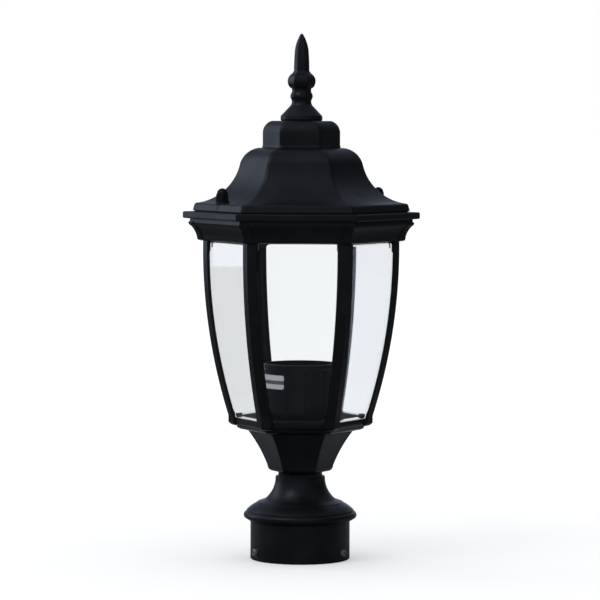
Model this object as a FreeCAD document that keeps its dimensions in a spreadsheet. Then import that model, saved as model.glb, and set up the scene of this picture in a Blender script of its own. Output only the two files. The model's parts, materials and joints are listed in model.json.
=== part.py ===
import FreeCAD, Part
import math
import os
import re

import Sketcher
from FreeCAD import Placement, Rotation, Vector

# A post top lantern: a round fitter for the post, a six-sided bowl and cage with bowed ribs and
# glass, and a six-sided roof that lifts off once two cap nuts are undone. Millimetres, +Z up,
# the origin in the middle of the fitter's bottom rim, the front facet towards -Y.
# A "radius" of a six-sided piece runs from the axis to a corner. Corners lie at 0, 60 ... degrees
# from +X and facets between them.

DRIVING_SIZES = (
    # fitter, turned round the post
    ("tube_radius", 42.7),
    ("post_radius", 39.0),
    ("post_depth", 36.0),
    ("flange_radius", 48.6),
    ("flange_top", 40.3),
    ("shoulder_radius", 37.6),
    ("shoulder_height", 48.2),
    ("collar_radius", 21.3),
    ("collar_height", 71.6),
    ("top_plate", 5.0),
    ("grub_height", 7.5),
    ("grub_radius", 2.95),
    ("grub_length", 6.0),
    ("earth_reach", 13.5),
    # threaded tube that clamps fitter, bowl, bar and cup together
    ("nipple_radius", 4.95),
    ("nipple_bore", 3.4),
    ("nipple_foot", 59.5),
    ("nipple_head", 128.0),
    ("nipple_hole", 5.2),
    ("nut_height", 5.0),
    ("nut_flat", 7.0),
    ("washer_height", 1.5),
    ("washer_radius", 10.0),
    # bowl
    ("neck_radius", 18.9),
    ("neck_foot", 72.4),
    ("bowl_foot", 75.0),
    ("waist_radius", 28.5),
    ("waist_height", 80.4),
    ("bowl_radius", 45.3),
    ("bowl_top", 110.2),
    # lower frame, a ring with a ledge for the glass
    ("ring_radius", 59.2),
    ("ring_ledge", 120.5),
    ("ring_lip", 123.5),
    ("ring_lip_radius", 53.9),
    ("ring_inner_radius", 50.6),
    ("ring_floor", 3.0),
    ("ring_mouth", 33.4),
    ("spigot_radius", 35.8),
    ("boss_back", 48.5),
    ("boss_width", 9.0),
    ("boss_head", 125.5),
    ("low_screw_height", 118.0),
    # ribs, bowed to a circle that stands upright at the bow height, and their feet and lugs
    ("bow_reach", 84.2),
    ("bow_radius", 478.0),
    ("bow_height", 266.9),
    ("foot_radius", 62.1),
    ("foot_top", 126.4),
    ("foot_width", 15.0),
    ("foot_back", 54.6),
    ("rib_width", 13.8),
    ("rib_depth", 4.9),
    ("rib_flange", 1.85),
    ("web_width", 3.0),
    ("lug_back", 75.0),
    ("lug_front", 79.0),
    ("lug_width", 10.0),
    ("lug_foot", 274.8),
    ("lug_head", 287.5),
    ("high_screw_height", 281.5),
    ("clip_foot", 267.5),
    ("clip_thickness", 1.0),
    # glass
    ("glass_gap", 0.15),
    ("glass_thickness", 3.0),
    ("glass_head", 274.4),
    ("glass_inset", 2.1),
    # upper frame, a cornice
    ("frame_foot", 273.1),
    ("frame_foot_radius", 84.8),
    ("frame_mouth", 82.2),
    ("lip_radius", 101.6),
    ("lip_foot", 292.4),
    ("frame_top", 298.2),
    ("frame_plate", 3.0),
    ("frame_opening", 78.0),
    ("strap_thickness", 1.1),
    ("strap_head", 289.6),
    # roof, crown and finial
    ("roof_foot", 299.0),
    ("roof_radius", 93.6),
    ("roof_band", 5.4),
    ("hollow_radius", 65.9),
    ("hollow_height", 316.8),
    ("roof_shoulder", 52.8),
    ("roof_shoulder_height", 340.0),
    ("roof_crest", 37.0),
    ("roof_top", 352.7),
    ("roof_wall", 3.0),
    ("crown_radius", 33.6),
    ("crown_top", 375.8),
    ("finial_tip", 450.0),
    ("bulb_radius", 12.1),
    ("blade_radius", 6.6),
    ("tie_radius", 2.95),
    # the two studs and cap nuts that hold the roof down
    ("stud_reach", 75.3),
    ("stud_radius", 2.95),
    ("stud_foot", 289.0),
    ("stud_head", 315.8),
    ("cap_seat", 307.0),
    ("cap_washer", 1.0),
    ("cap_flat", 5.0),
    ("cap_top", 318.8),
    ("cap_height", 6.0),
    ("lock_nut_height", 3.2),
    # cup, lampholder and leads
    ("cup_radius", 31.5),
    ("cup_foot", 115.2),
    ("cup_top", 168.7),
    ("cup_wall", 1.8),
    ("cup_fillet", 14.0),
    ("cup_side", 31.0),
    ("holder_radius", 20.5),
    ("holder_foot", 123.5),
    ("holder_top", 163.0),
    ("holder_floor", 139.0),
    ("lamp_thread", 13.3),
    ("shell_wall", 0.65),
    ("contact_thickness", 0.8),
    ("lead_radius", 1.1),
    ("bar_width", 18.0),
    ("bar_half", 43.5),
    ("bar_thickness", 2.0),
    ("bar_screw_reach", 38.5),
    ("block_foot", 38.5),
    ("block_head", 51.0),
    ("pole_pitch", 8.0),
    ("eyelet_thickness", 0.8),
    ("eyelet_tail", 8.6),
    ("eyelet_width", 3.0),
)
SIDES = 6
STEP = 360.0 / SIDES
# every third step from +X: directions of the grub screws, and of the two cap nuts
GRUB_DIRECTIONS = {"right": -30.0, "rear": 90.0, "left": 210.0}
CAP_DIRECTIONS = {"left": 210.0, "right": 30.0}
LABEL_DIRECTION = 219.0
# the cup's flutes lie every 30 degrees from 10, and this one would pass behind the label
UNDER_LABEL = 7
CORNERS = ("right", "rear_right", "rear_left", "left", "front_left", "front_right")
FACETS = ("rear_right", "rear", "rear_left", "front_left", "front", "front_right")

doc = FreeCAD.newDocument("post_top_lantern")
sheet = doc.addObject("Spreadsheet::Sheet", "Sizes")
for row, (alias, millimetres) in enumerate(DRIVING_SIZES, start=1):
    sheet.set("A%d" % row, alias.replace("_", " "))
    sheet.set("B%d" % row, str(millimetres))
    sheet.setAlias("B%d" % row, alias)
doc.recompute()
ALIASES = dict(DRIVING_SIZES)
sub_parts = []


def bound(text):
    """Write a formula on the sheet's words as an expression of the document."""
    return re.sub(r"[a-z][a-z_]+",
                  lambda word: "Sizes." + word.group() if word.group() in ALIASES else word.group(),
                  text)


def size(text):
    """Work a formula on the sheet's words out to a number."""
    result = sheet.evalExpression(bound(text))
    return float(getattr(result, "Value", result))


def finished(item, label):
    """Give a sub-part the label that names its file."""
    item.Label = label
    sub_parts.append(item)
    return item


# ------------------------------------------------------------------ outlines and solids

def hold_point(sketch, geometry, place, across, up):
    """Tie a point of a sketch to formulas for its distances across and up from the origin."""
    for kind, text, axis in (("DistanceX", across, -2), ("DistanceY", up, -1)):
        if abs(size(text)) < 1e-9:
            sketch.addConstraint(Sketcher.Constraint("PointOnObject", geometry, place, axis))
        else:
            index = sketch.addConstraint(
                Sketcher.Constraint(kind, -1, 1, geometry, place, size(text)))
            sketch.setExpression("Constraints[%d]" % index, bound(text))


def draw_outline(sketch, corners):
    """Draw a closed outline of (across, up) corners. An ("arc", across, up) entry is a point that
    the arc between its two neighbours passes through."""
    real = [index for index, corner in enumerate(corners) if corner[0] != "arc"]
    edges = []
    for here, there in zip(real, real[1:] + real[:1]):
        start = Vector(size(corners[here][0]), size(corners[here][1]), 0)
        end = Vector(size(corners[there][0]), size(corners[there][1]), 0)
        after = corners[(here + 1) % len(corners)]
        forward = True
        if after[0] == "arc":
            middle = Vector(size(after[1]), size(after[2]), 0)
            edge = sketch.addGeometry(Part.Arc(start, middle, end), False)
            mark = sketch.addGeometry(Part.Point(middle), True)
            hold_point(sketch, mark, 1, after[1], after[2])
            sketch.addConstraint(Sketcher.Constraint("PointOnObject", mark, 1, edge))
            forward = (sketch.getPoint(edge, 1) - start).Length < 1e-6
        else:
            edge = sketch.addGeometry(Part.LineSegment(start, end), False)
        edges.append((edge, 1, 2) if forward else (edge, 2, 1))
    for number, (edge, first, last) in enumerate(edges):
        following, its_first, its_last = edges[(number + 1) % len(edges)]
        sketch.addConstraint(Sketcher.Constraint("Coincident", edge, last, following, its_first))
        hold_point(sketch, edge, first, *corners[real[number]])


def new_sketch(body, name, role):
    sketch = body.newObject("Sketcher::SketchObject", name)
    plane = next(item for item in body.Origin.OriginFeatures if item.Role == role)
    sketch.AttachmentSupport = (plane, [""])
    sketch.MapMode = "FlatFace"
    return sketch


def turned(name, corners):
    """A body turned about the Z axis from an outline of (radius, height) corners."""
    body = doc.addObject("PartDesign::Body", name)
    sketch = new_sketch(body, name + "_outline", "XZ_Plane")
    draw_outline(sketch, corners)
    feature = body.newObject("PartDesign::Revolution", name + "_turned")
    feature.Profile = sketch
    feature.ReferenceAxis = (sketch, ["V_Axis"])
    feature.Angle = 360.0
    doc.recompute()
    return body


def padded(name, corners, foot, head):
    """A body padded upwards from an outline in the XY plane."""
    body = doc.addObject("PartDesign::Body", name)
    sketch = new_sketch(body, name + "_outline", "XY_Plane")
    sketch.AttachmentOffset = Placement(Vector(0, 0, size(foot)), Rotation())
    draw_outline(sketch, corners)
    feature = body.newObject("PartDesign::Pad", name + "_pad")
    feature.Profile = sketch
    feature.setExpression("Length", bound("(%s) - (%s)" % (head, foot)))
    doc.recompute()
    return body


def pocketed(body, name, role, offset, corners, depth, midplane=False):
    """Cut a pocket in a body and make sure that it took something away."""
    before = body.Shape.Volume
    sketch = new_sketch(body, name + "_outline", role)
    sketch.AttachmentOffset = Placement(Vector(0, 0, size(offset)), Rotation())
    draw_outline(sketch, corners)
    feature = body.newObject("PartDesign::Pocket", name)
    feature.Profile = sketch
    feature.Midplane = midplane
    feature.setExpression("Length", bound(depth))
    doc.recompute()
    if body.Shape.Volume > before - 1e-6:
        raise RuntimeError("%s cuts nothing" % name)
    return feature


def quarter(radius, height, middle="0", way=1):
    """The arc entry for a quarter circle outwards of its centre, upwards of it or (-1) below."""
    return ("arc", "%s + (%s) * cos(45 deg)" % (middle, radius),
            "%s + (%s) * sin(%d deg)" % (height, radius, 45 * way))


def hexagon(flat):
    """Corners of a hexagon whose flats lie at this distance from its middle."""
    reach = "(%s) / cos(30 deg)" % flat
    return [("%s * cos(%d deg)" % (reach, STEP * n + 30), "%s * sin(%d deg)" % (reach, STEP * n + 30))
            for n in range(SIDES)]


def hexed(name, stations):
    """A solid of six like sides from (corner radius, height) stations, foot first. Its outline is
    drawn out along three directions, and the common part of the three has the six sides."""
    right = []
    left = []
    for station in stations:
        flat = "(%s) * cos(30 deg)" % station[-2]
        mark = station[:-2]
        right.append(mark + (flat, station[-1]))
        left.append(mark + ("-" + flat, station[-1]))
    sketch = doc.addObject("Sketcher::SketchObject", name + "_outline")
    sketch.Placement = Placement(Vector(), Rotation(Vector(1, 1, 1), 120))
    draw_outline(sketch, right + left[::-1])
    runs = []
    for number in range(SIDES // 2):
        run = doc.addObject("Part::Extrusion", "%s_run_%d" % (name, number))
        run.Base = sketch
        run.DirMode = "Normal"
        run.setExpression("LengthFwd", bound("lip_radius * 3"))
        run.Symmetric = True
        run.Solid = True
        run.Placement = Placement(Vector(), turn_to(STEP * number))
        runs.append(run)
    return combined("Part::MultiCommon", name, runs)


def combined(kind, name, pieces):
    result = doc.addObject(kind, name)
    result.Shapes = list(pieces)
    doc.recompute()
    return result


def fused(name, *pieces):
    return combined("Part::MultiFuse", name, pieces)


def common(name, *pieces):
    return combined("Part::MultiCommon", name, pieces)


def less(name, base, *tools):
    """The base with one or more tools taken out of it."""
    result = doc.addObject("Part::Cut", name)
    result.Base = base
    result.Tool = tools[0] if len(tools) == 1 else fused(name + "_tools", *tools)
    doc.recompute()
    return result


def group(label, pieces):
    """Like fasteners kept as the separate solids of one node."""
    result = doc.addObject("Part::Compound", label + "_group")
    result.Links = list(pieces)
    doc.recompute()
    return finished(result, label)


def turn_to(angle):
    return Rotation(Vector(0, 0, 1), angle)


def facing(angle, lean):
    """A turn that lays a piece's own Z axis out along a direction (lean 90) or in (lean -90)."""
    return turn_to(angle).multiply(Rotation(Vector(0, 1, 0), lean))


def reach_to(angle, distance, height):
    return turn_to(angle).multVec(Vector(size(distance), 0, size(height)))


def radial_block(name, near, far, width, foot, head, angle=0.0):
    """A block between two distances from the axis, centred on a direction."""
    block = doc.addObject("Part::Box", name)
    block.setExpression("Length", bound("(%s) - (%s)" % (far, near)))
    block.setExpression("Width", bound(width))
    block.setExpression("Height", bound("(%s) - (%s)" % (head, foot)))
    corner = Vector(size(near), -size(width) / 2, size(foot))
    block.Placement = Placement(turn_to(angle).multVec(corner), turn_to(angle))
    return block


def radial_rod(name, radius, near, far, height, angle=0.0):
    """A cylinder lying along a direction."""
    rod = doc.addObject("Part::Cylinder", name)
    rod.setExpression("Radius", bound(radius))
    rod.setExpression("Height", bound("(%s) - (%s)" % (far, near)))
    rod.Placement = Placement(reach_to(angle, near, height), facing(angle, 90))
    return rod


def upright_rod(name, radius, foot, head, distance="0", angle=0.0):
    """A cylinder parallel to the axis."""
    rod = doc.addObject("Part::Cylinder", name)
    rod.setExpression("Radius", bound(radius))
    rod.setExpression("Height", bound("(%s) - (%s)" % (head, foot)))
    rod.Placement = Placement(reach_to(angle, distance, foot), Rotation())
    return rod


def at_corners(make, name, *sizes):
    """The same block or rod at each of the six corners."""
    return [make("%s_%d" % (name, n), *sizes, angle=STEP * n) for n in range(SIDES)]


def flat_ring(name, outer, inner, foot, head):
    return turned(name, [(inner, foot), (outer, foot), (outer, head), (inner, head)])


def plain_nut(name, flat, hole, foot, head):
    body = padded(name, hexagon(flat), foot, head)
    return less(name + "_threaded", body, upright_rod(name + "_hole", hole, foot, head))


def pan_screw(name, shank, length, head):
    """A slotted pan-head screw with its point at 0 and its head at the far end of +Z."""
    tall = "(%s) * 0.7" % head
    low = "%s + %s * 0.5" % (length, tall)
    body = turned(name, [
        ("0", "0"), ("%s - 0.3" % shank, "0"), (shank, "0.3"), (shank, length), (head, length),
        (head, low), ("arc", "(%s) * 0.87" % head, "%s + %s * 0.85" % (length, tall)),
        ("(%s) * 0.55" % head, "%s + %s" % (length, tall)), ("0", "%s + %s" % (length, tall))])
    half = "(%s) * 0.14" % head
    high = "%s + (%s)" % (length, head)
    pocketed(body, name + "_slot", "XZ_Plane", "0",
             [("-" + half, low), (half, low), (half, high), ("-" + half, high)],
             "(%s) * 3" % head, midplane=True)
    return body


def bow(height):
    """The rib's corner radius at a height, on the circle that it is bowed to."""
    return "bow_reach - bow_radius + sqrt(bow_radius^2 - (%s - bow_height)^2)" % height


def bowed(name, inset, foot, head):
    """A six-sided solid that follows the ribs' bow, set in from their corners."""
    middle = "(%s) / 2 + (%s) / 2" % (foot, head)
    return hexed(name, [("%s - (%s)" % (bow(foot), inset), foot),
                        ("arc", "%s - (%s)" % (bow("(%s)" % middle), inset), middle),
                        ("%s - (%s)" % (bow(head), inset), head)])


# ------------------------------------------------------------------ fitter and its screws

def make_fitter():
    casting = turned("fitter_casting", [
        ("post_radius", "0"), ("tube_radius - 0.6", "0"), ("tube_radius", "0.6"),
        ("tube_radius", "32.3"), ("tube_radius + 0.5", "32.9"),
        ("flange_radius - 1.8", "35.1"), ("arc", "flange_radius", "37.7"),
        ("flange_radius - 1.2", "flange_top"), ("45.8", "flange_top + 0.9"),
        ("46.1", "flange_top + 1.7"), ("arc", "42.3", "45.3"),
        ("shoulder_radius", "shoulder_height"), ("shoulder_radius - 1.2", "shoulder_height + 1.0"),
        ("30.4", "51.4"), ("arc", "23.7", "59.8"), ("collar_radius", "collar_height - 0.8"),
        ("collar_radius - 0.8", "collar_height"), ("nipple_hole", "collar_height"),
        ("nipple_hole", "collar_height - top_plate"), ("17.2", "collar_height - top_plate"),
        ("arc", "20.6", "57.4"), ("29.5", "47.6"), ("33.5", "46.2"), ("36.0", "43.5"),
        ("36.0", "post_depth"), ("post_radius", "post_depth")])
    holes = [radial_rod("grub_hole_" + place, "grub_radius + 0.05", "30", "50", "grub_height",
                        angle=angle) for place, angle in GRUB_DIRECTIONS.items()]
    earth_hole = upright_rod("earth_hole", "2.0", "collar_height - top_plate - 1",
                             "collar_height - 0.8", "earth_reach", 90.0)
    finished(less("fitter", casting, earth_hole, *holes), "post_fitter")


def make_grub_screws():
    """Cone-pointed grub screws with a hexagon socket, backed out until the bore is clear."""
    for place, angle in GRUB_DIRECTIONS.items():
        name = "set_screw_" + place
        body = turned(name, [
            ("0", "0"), ("1.2", "0"), ("grub_radius", "1.4"), ("grub_radius", "grub_length - 0.4"),
            ("grub_radius - 0.4", "grub_length"), ("0", "grub_length")])
        pocketed(body, name + "_socket", "XY_Plane", "grub_length", hexagon("1.5"), "2.6")
        body.Placement = Placement(reach_to(angle, "post_radius + 0.1", "grub_height"),
                                   facing(angle, 90))
        finished(body, name)


def make_clamp():
    """The threaded tube through the middle, with a washer and nut at each end, and the gasket."""
    finished(flat_ring("nipple_body", "nipple_radius", "nipple_bore", "nipple_foot", "nipple_head"),
             "threaded_nipple")
    low = "collar_height - top_plate"
    high = "cup_foot + cup_wall"
    group("nipple_washers", [
        flat_ring("washer_low", "washer_radius", "nipple_hole", low + " - washer_height", low),
        flat_ring("washer_high", "washer_radius", "nipple_hole", high, high + " + washer_height")])
    group("nipple_nuts", [
        plain_nut("nut_low", "nut_flat", "nipple_radius + 0.03",
                  low + " - washer_height - nut_height", low + " - washer_height"),
        plain_nut("nut_high", "nut_flat", "nipple_radius + 0.03",
                  high + " + washer_height", high + " + washer_height + nut_height")])
    finished(flat_ring("neck_gasket_body", "neck_radius - 0.3", "nipple_hole + 0.3",
                       "collar_height", "neck_foot"), "neck_gasket")


# ------------------------------------------------------------------ bowl and lower frame

def make_bowl():
    outside = hexed("bowl_outside", [
        ("waist_radius - 9.0", "bowl_foot"), ("waist_radius - 4.2", "bowl_foot + 0.5"),
        ("arc", "waist_radius - 1.2", "bowl_foot + 2.2"), ("waist_radius", "waist_height"),
        ("arc", "35.2", "94.8"), ("bowl_radius", "bowl_top")])
    neck = upright_rod("bowl_neck", "neck_radius", "neck_foot", "bowl_foot + 2")
    inside = hexed("bowl_inside", [
        ("20.0", "79.0"), ("24.8", "82.5"), ("arc", "31.8", "96.0"),
        ("bowl_radius - 3.9", "bowl_top + 0.5")])
    hole = upright_rod("bowl_hole", "nipple_hole", "neck_foot - 1", "waist_height")
    finished(less("bowl", fused("bowl_solid", outside, neck), inside, hole), "bowl")


def make_lower_frame():
    """A moulded ring. Each corner has a notch for a rib's foot, and a boss for its screw."""
    ring = hexed("ring_outside", [
        ("bowl_radius + 1", "bowl_top"), ("48.2", "111.0"), ("arc", "52.2", "111.6"),
        ("55.4", "113.8"), ("55.9", "115.0"), ("57.4", "115.5"), ("arc", "58.8", "117.0"),
        ("ring_radius", "119.2"), ("ring_radius", "ring_ledge"),
        ("ring_lip_radius", "ring_ledge"), ("ring_lip_radius", "ring_lip")])
    spigot = hexed("ring_spigot", [("spigot_radius", "bowl_top - 3"),
                                   ("spigot_radius", "bowl_top + 1")])
    hollow = hexed("ring_hollow", [("ring_inner_radius", "bowl_top + ring_floor"),
                                   ("ring_inner_radius", "ring_lip + 1")])
    bosses = at_corners(radial_block, "ring_boss", "boss_back", "foot_back", "boss_width",
                        "bowl_top", "ring_lip + 1")
    posts = common("ring_posts", hexed("post_limit", [("ring_lip_radius", "ring_ledge - 1"),
                                                      ("ring_lip_radius", "boss_head")]),
                   fused("post_blocks", *at_corners(
                       radial_block, "ring_post", "boss_back", "foot_back", "boss_width",
                       "ring_ledge - 1", "boss_head")))
    mouth = hexed("ring_opening", [("ring_mouth", "bowl_top - 4"), ("ring_mouth", "bowl_top + 4")])
    notches = at_corners(radial_block, "ring_notch", "foot_back - 0.1", "70", "foot_width + 0.2",
                         "bowl_top", "ring_lip + 1")
    holes = at_corners(radial_rod, "ring_hole", "1.7", "45", "56", "low_screw_height")
    taps = [upright_rod("bar_tap_%d" % n, "2.0", "bowl_top - 1", "bowl_top + ring_floor + 1",
                        "bar_screw_reach", 180.0 * n) for n in range(2)]
    finished(less("ring", fused("ring_solid", ring, spigot, posts),
                  less("ring_room", hollow, *bosses), mouth, *notches, *holes, *taps),
             "lower_frame")


def make_bar():
    """The steel bar across the lower frame that the cup stands on."""
    low = "bowl_top + ring_floor"
    bar = padded("bar_body", [("-bar_half", "-bar_width / 2"), ("bar_half", "-bar_width / 2"),
                              ("bar_half", "bar_width / 2"), ("-bar_half", "bar_width / 2")],
                 low, low + " + bar_thickness")
    holes = [upright_rod("bar_hole_%d" % n, "2.2", low, "cup_foot", "bar_screw_reach", 180.0 * n)
             for n in range(2)]
    finished(less("bar", bar, upright_rod("bar_middle", "nipple_hole", low, "cup_foot"), *holes),
             "holder_bar")
    screws = []
    for number in range(2):
        screw = pan_screw("bar_screw_%d" % number, "1.95", "4.8", "3.6")
        screw.Placement = Placement(reach_to(180.0 * number, "bar_screw_reach", "cup_foot - 4.8"),
                                    Rotation())
        screws.append(screw)
    group("bar_screws", screws)


# ------------------------------------------------------------------ ribs and glass

def make_ribs():
    """Each rib is a bowed angle whose outside keeps the cage's corner, with a web between the
    two panes, a foot in the lower frame's notch and a lug behind the upper frame."""
    low = "ring_ledge - 0.1"
    high = "frame_foot + 3"
    stock = bowed("rib_stock", "0", low, high)
    skin = less("rib_skin", stock, bowed("glass_space", "rib_flange", low, high))
    core = less("rib_core", stock, bowed("web_space", "rib_depth", low, high))
    shoe = less("rib_shoe", hexed("shoe_outside", [
        ("54.0", "114.6"), ("arc", "58.8", "115.0"), ("foot_radius", "117.6"),
        ("foot_radius", "foot_top")]), doc.getObject("glass_space"))
    for number, place in enumerate(CORNERS):
        angle = STEP * number
        name = "rib_" + place
        flange = common(name + "_flange", skin, radial_block(
            name + "_slab", "40", "100", "rib_width", low, "frame_foot", angle))
        web = common(name + "_web", core, radial_block(
            name + "_sheet", "40", "100", "web_width", low, "frame_foot", angle))
        foot = common(name + "_foot", shoe, radial_block(
            name + "_pad", "foot_back", "70", "foot_width", "bowl_top", "foot_top", angle))
        neck = radial_block(name + "_neck", "lug_back + 1", "81", "web_width", "264", "276", angle)
        lug = radial_block(name + "_lug", "lug_back", "lug_front", "lug_width", "lug_foot",
                           "lug_head", angle)
        tap = radial_rod(name + "_tap", "1.5", "50", "60", "low_screw_height", angle)
        hole = radial_rod(name + "_hole", "1.7", "70", "80", "high_screw_height", angle)
        finished(less(name, fused(name + "_solid", flange, web, foot, neck, lug), tap, hole), name)


def make_panes():
    """Six bowed panes that stand on the ledge between the ribs' flanges and the lip behind."""
    outset = "rib_flange + glass_gap"
    shell = less("glass_shell", bowed("glass_outside", outset, "ring_ledge", "glass_head"),
                 bowed("glass_inside", outset + " + glass_thickness / cos(30 deg)", "ring_ledge",
                       "glass_head"))
    for number, place in enumerate(FACETS):
        name = "glass_" + place
        wedge = padded(name + "_wedge", [
            ("glass_inset * 2", "0"), ("lip_radius", "-(lip_radius - glass_inset * 2) * tan(30 deg)"),
            ("lip_radius", "(lip_radius - glass_inset * 2) * tan(30 deg)")],
            "ring_ledge - 1", "glass_head + 1")
        wedge.Placement = Placement(Vector(), turn_to(STEP * number + STEP / 2))
        finished(common(name, shell, wedge), name)


def make_rib_fasteners():
    clips = []
    for number in range(SIDES):
        plate = radial_block("clip_plate_%d" % number, "lug_back - clip_thickness", "lug_back",
                             "lug_width", "clip_foot", "lug_head", STEP * number)
        hole = radial_rod("clip_hole_%d" % number, "1.7", "70", "80", "high_screw_height",
                          STEP * number)
        clips.append(less("clip_%d" % number, plate, hole))
    group("pane_clips", clips)
    for label, length, far, height in (
            ("rib_screws_lower", "11.0", "boss_back + 11", "low_screw_height"),
            ("rib_screws_upper", "12.0", "lug_back - clip_thickness + 12", "high_screw_height")):
        screws = []
        for number in range(SIDES):
            screw = pan_screw("%s_%d" % (label, number), "1.45", length, "2.9")
            screw.Placement = Placement(reach_to(STEP * number, far, height),
                                        facing(STEP * number, -90))
            screws.append(screw)
        group(label, screws)


# ------------------------------------------------------------------ upper frame and roof

def make_upper_frame():
    """A moulded cornice with a lip and a strap over each corner, hollow inside, with a boss at
    each corner for a rib's lug."""
    moulding = [
        ("frame_foot_radius", "frame_foot"), ("87.6", "frame_foot + 0.8"),
        ("88.2", "frame_foot + 2.2"), ("88.4", "276.6"), ("arc", "90.4", "281.9"),
        ("93.8", "286.2"), ("94.6", "286.6"), ("arc", "95.6", "288.4"), ("95.6", "strap_head")]
    outside = hexed("frame_outside", moulding + [
        ("95.4", "lip_foot - 0.4"), ("lip_radius - 0.9", "lip_foot"),
        ("lip_radius", "lip_foot + 0.9"), ("lip_radius", "frame_top - 0.9"),
        ("lip_radius - 0.9", "frame_top")])
    straps = common("frame_straps", hexed("strap_outside", [
        corner[:-2] + (corner[-2] + " + strap_thickness", corner[-1]) for corner in moulding]),
        fused("strap_blocks", *at_corners(
            radial_block, "strap_block", "80", "110", "rib_width", "frame_foot", "strap_head")))
    inside = hexed("frame_inside", [
        ("frame_mouth", "frame_foot - 1"), ("frame_mouth", "277"), ("88.4", "284"),
        ("92.9", "290"), ("95.0", "frame_top - frame_plate")])
    bosses = at_corners(radial_block, "frame_boss", "lug_front + 0.2", "95", "lug_width",
                        "frame_foot + 3.4", "lug_head + 0.5")
    opening = hexed("frame_hole", [("frame_opening", "frame_top - frame_plate - 1"),
                                   ("frame_opening", "frame_top + 1")])
    taps = at_corners(radial_rod, "frame_tap", "1.5", "75", "87.5", "high_screw_height")
    stud_holes = [upright_rod("frame_stud_hole_" + place, "stud_radius + 0.03", "293", "300",
                              "stud_reach", angle) for place, angle in CAP_DIRECTIONS.items()]
    finished(less("cornice", fused("frame_solid", outside, straps),
                  less("frame_room", inside, *bosses), opening, *taps, *stud_holes), "upper_frame")


def make_roof_studs():
    low = "frame_top - frame_plate"
    studs = []
    nuts = []
    for place, angle in CAP_DIRECTIONS.items():
        stud = turned("stud_" + place, [
            ("0", "stud_foot"), ("stud_radius - 0.4", "stud_foot"),
            ("stud_radius", "stud_foot + 0.4"), ("stud_radius", "stud_head - 0.6"),
            ("stud_radius - 0.6", "stud_head"), ("0", "stud_head")])
        stud.Placement = Placement(reach_to(angle, "stud_reach", "0"), Rotation())
        studs.append(stud)
        nut = plain_nut("stud_nut_" + place, "cap_flat", "stud_radius + 0.03",
                        low + " - lock_nut_height", low)
        nut.Placement = Placement(reach_to(angle, "stud_reach", "0"), Rotation())
        nuts.append(nut)
    group("roof_studs", studs)
    group("stud_lock_nuts", nuts)
    ring = less("gasket_ring",
                hexed("gasket_outside", [("91.3", "frame_top"), ("91.3", "roof_foot")]),
                hexed("gasket_inside", [("87.6", "frame_top - 1"), ("87.6", "roof_foot + 1")]),
                *[upright_rod("gasket_hole_" + place, "stud_radius + 0.4", "frame_top - 1",
                              "roof_foot + 1", "stud_reach", angle)
                  for place, angle in CAP_DIRECTIONS.items()])
    finished(ring, "roof_gasket")


def make_roof():
    """An ogee roof: an upright band, a hollow sweep, and a round shoulder under the crown."""
    outside = hexed("roof_outside", [
        ("roof_radius", "roof_foot"), ("roof_radius - 1.6", "roof_foot + roof_band"),
        ("roof_radius - 2.8", "roof_foot + roof_band + 1.1"),
        ("arc", "hollow_radius", "hollow_height"), ("roof_shoulder", "roof_shoulder_height"),
        ("arc", "47.9", "347.5"), ("roof_crest", "roof_top")])
    inside = hexed("roof_inside", [
        ("roof_radius - 4.7", "roof_foot - 1"), ("roof_radius - 4.7", "roof_foot + 1.6"),
        ("arc", "62.4", "314.4"), ("49.6", "338.4"), ("arc", "45.0", "345.1"),
        ("34.0", "roof_top - roof_wall")])
    seats = [upright_rod("cap_boss_" + place, "5.7", "roof_foot + 2", "cap_seat", "stud_reach",
                         angle) for place, angle in CAP_DIRECTIONS.items()]
    holes = [upright_rod("cap_hole_" + place, "stud_radius + 0.35", "roof_foot - 1", "cap_seat + 8",
                         "stud_reach", angle) for place, angle in CAP_DIRECTIONS.items()]
    room = [upright_rod("cap_room_" + place, "6.1", "cap_seat", "cap_seat + 14", "stud_reach",
                        angle) for place, angle in CAP_DIRECTIONS.items()]
    tie = upright_rod("roof_tie_hole", "tie_radius + 0.2", "roof_top - 8", "roof_top + 1")
    shell = fused("roof_shell", less("roof_hollowed", outside, inside), *seats)
    finished(less("roof", shell, tie, *holes, *room), "roof")


def make_crown():
    outside = hexed("crown_outside", [
        ("crown_radius + 0.8", "roof_top"), ("crown_radius", "roof_top + 2"),
        ("crown_radius", "366.0"), ("arc", "31.8", "371.4"), ("25.8", "crown_top")])
    inside = hexed("crown_inside", [
        ("crown_radius - 3.2", "roof_top - 1"), ("crown_radius - 3.2", "365.6"),
        ("25.0", "crown_top - 3")])
    hole = upright_rod("crown_tie_hole", "tie_radius + 0.2", "crown_top - 5", "crown_top + 1")
    finished(less("crown", outside, inside, hole), "crown_cap")


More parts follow.
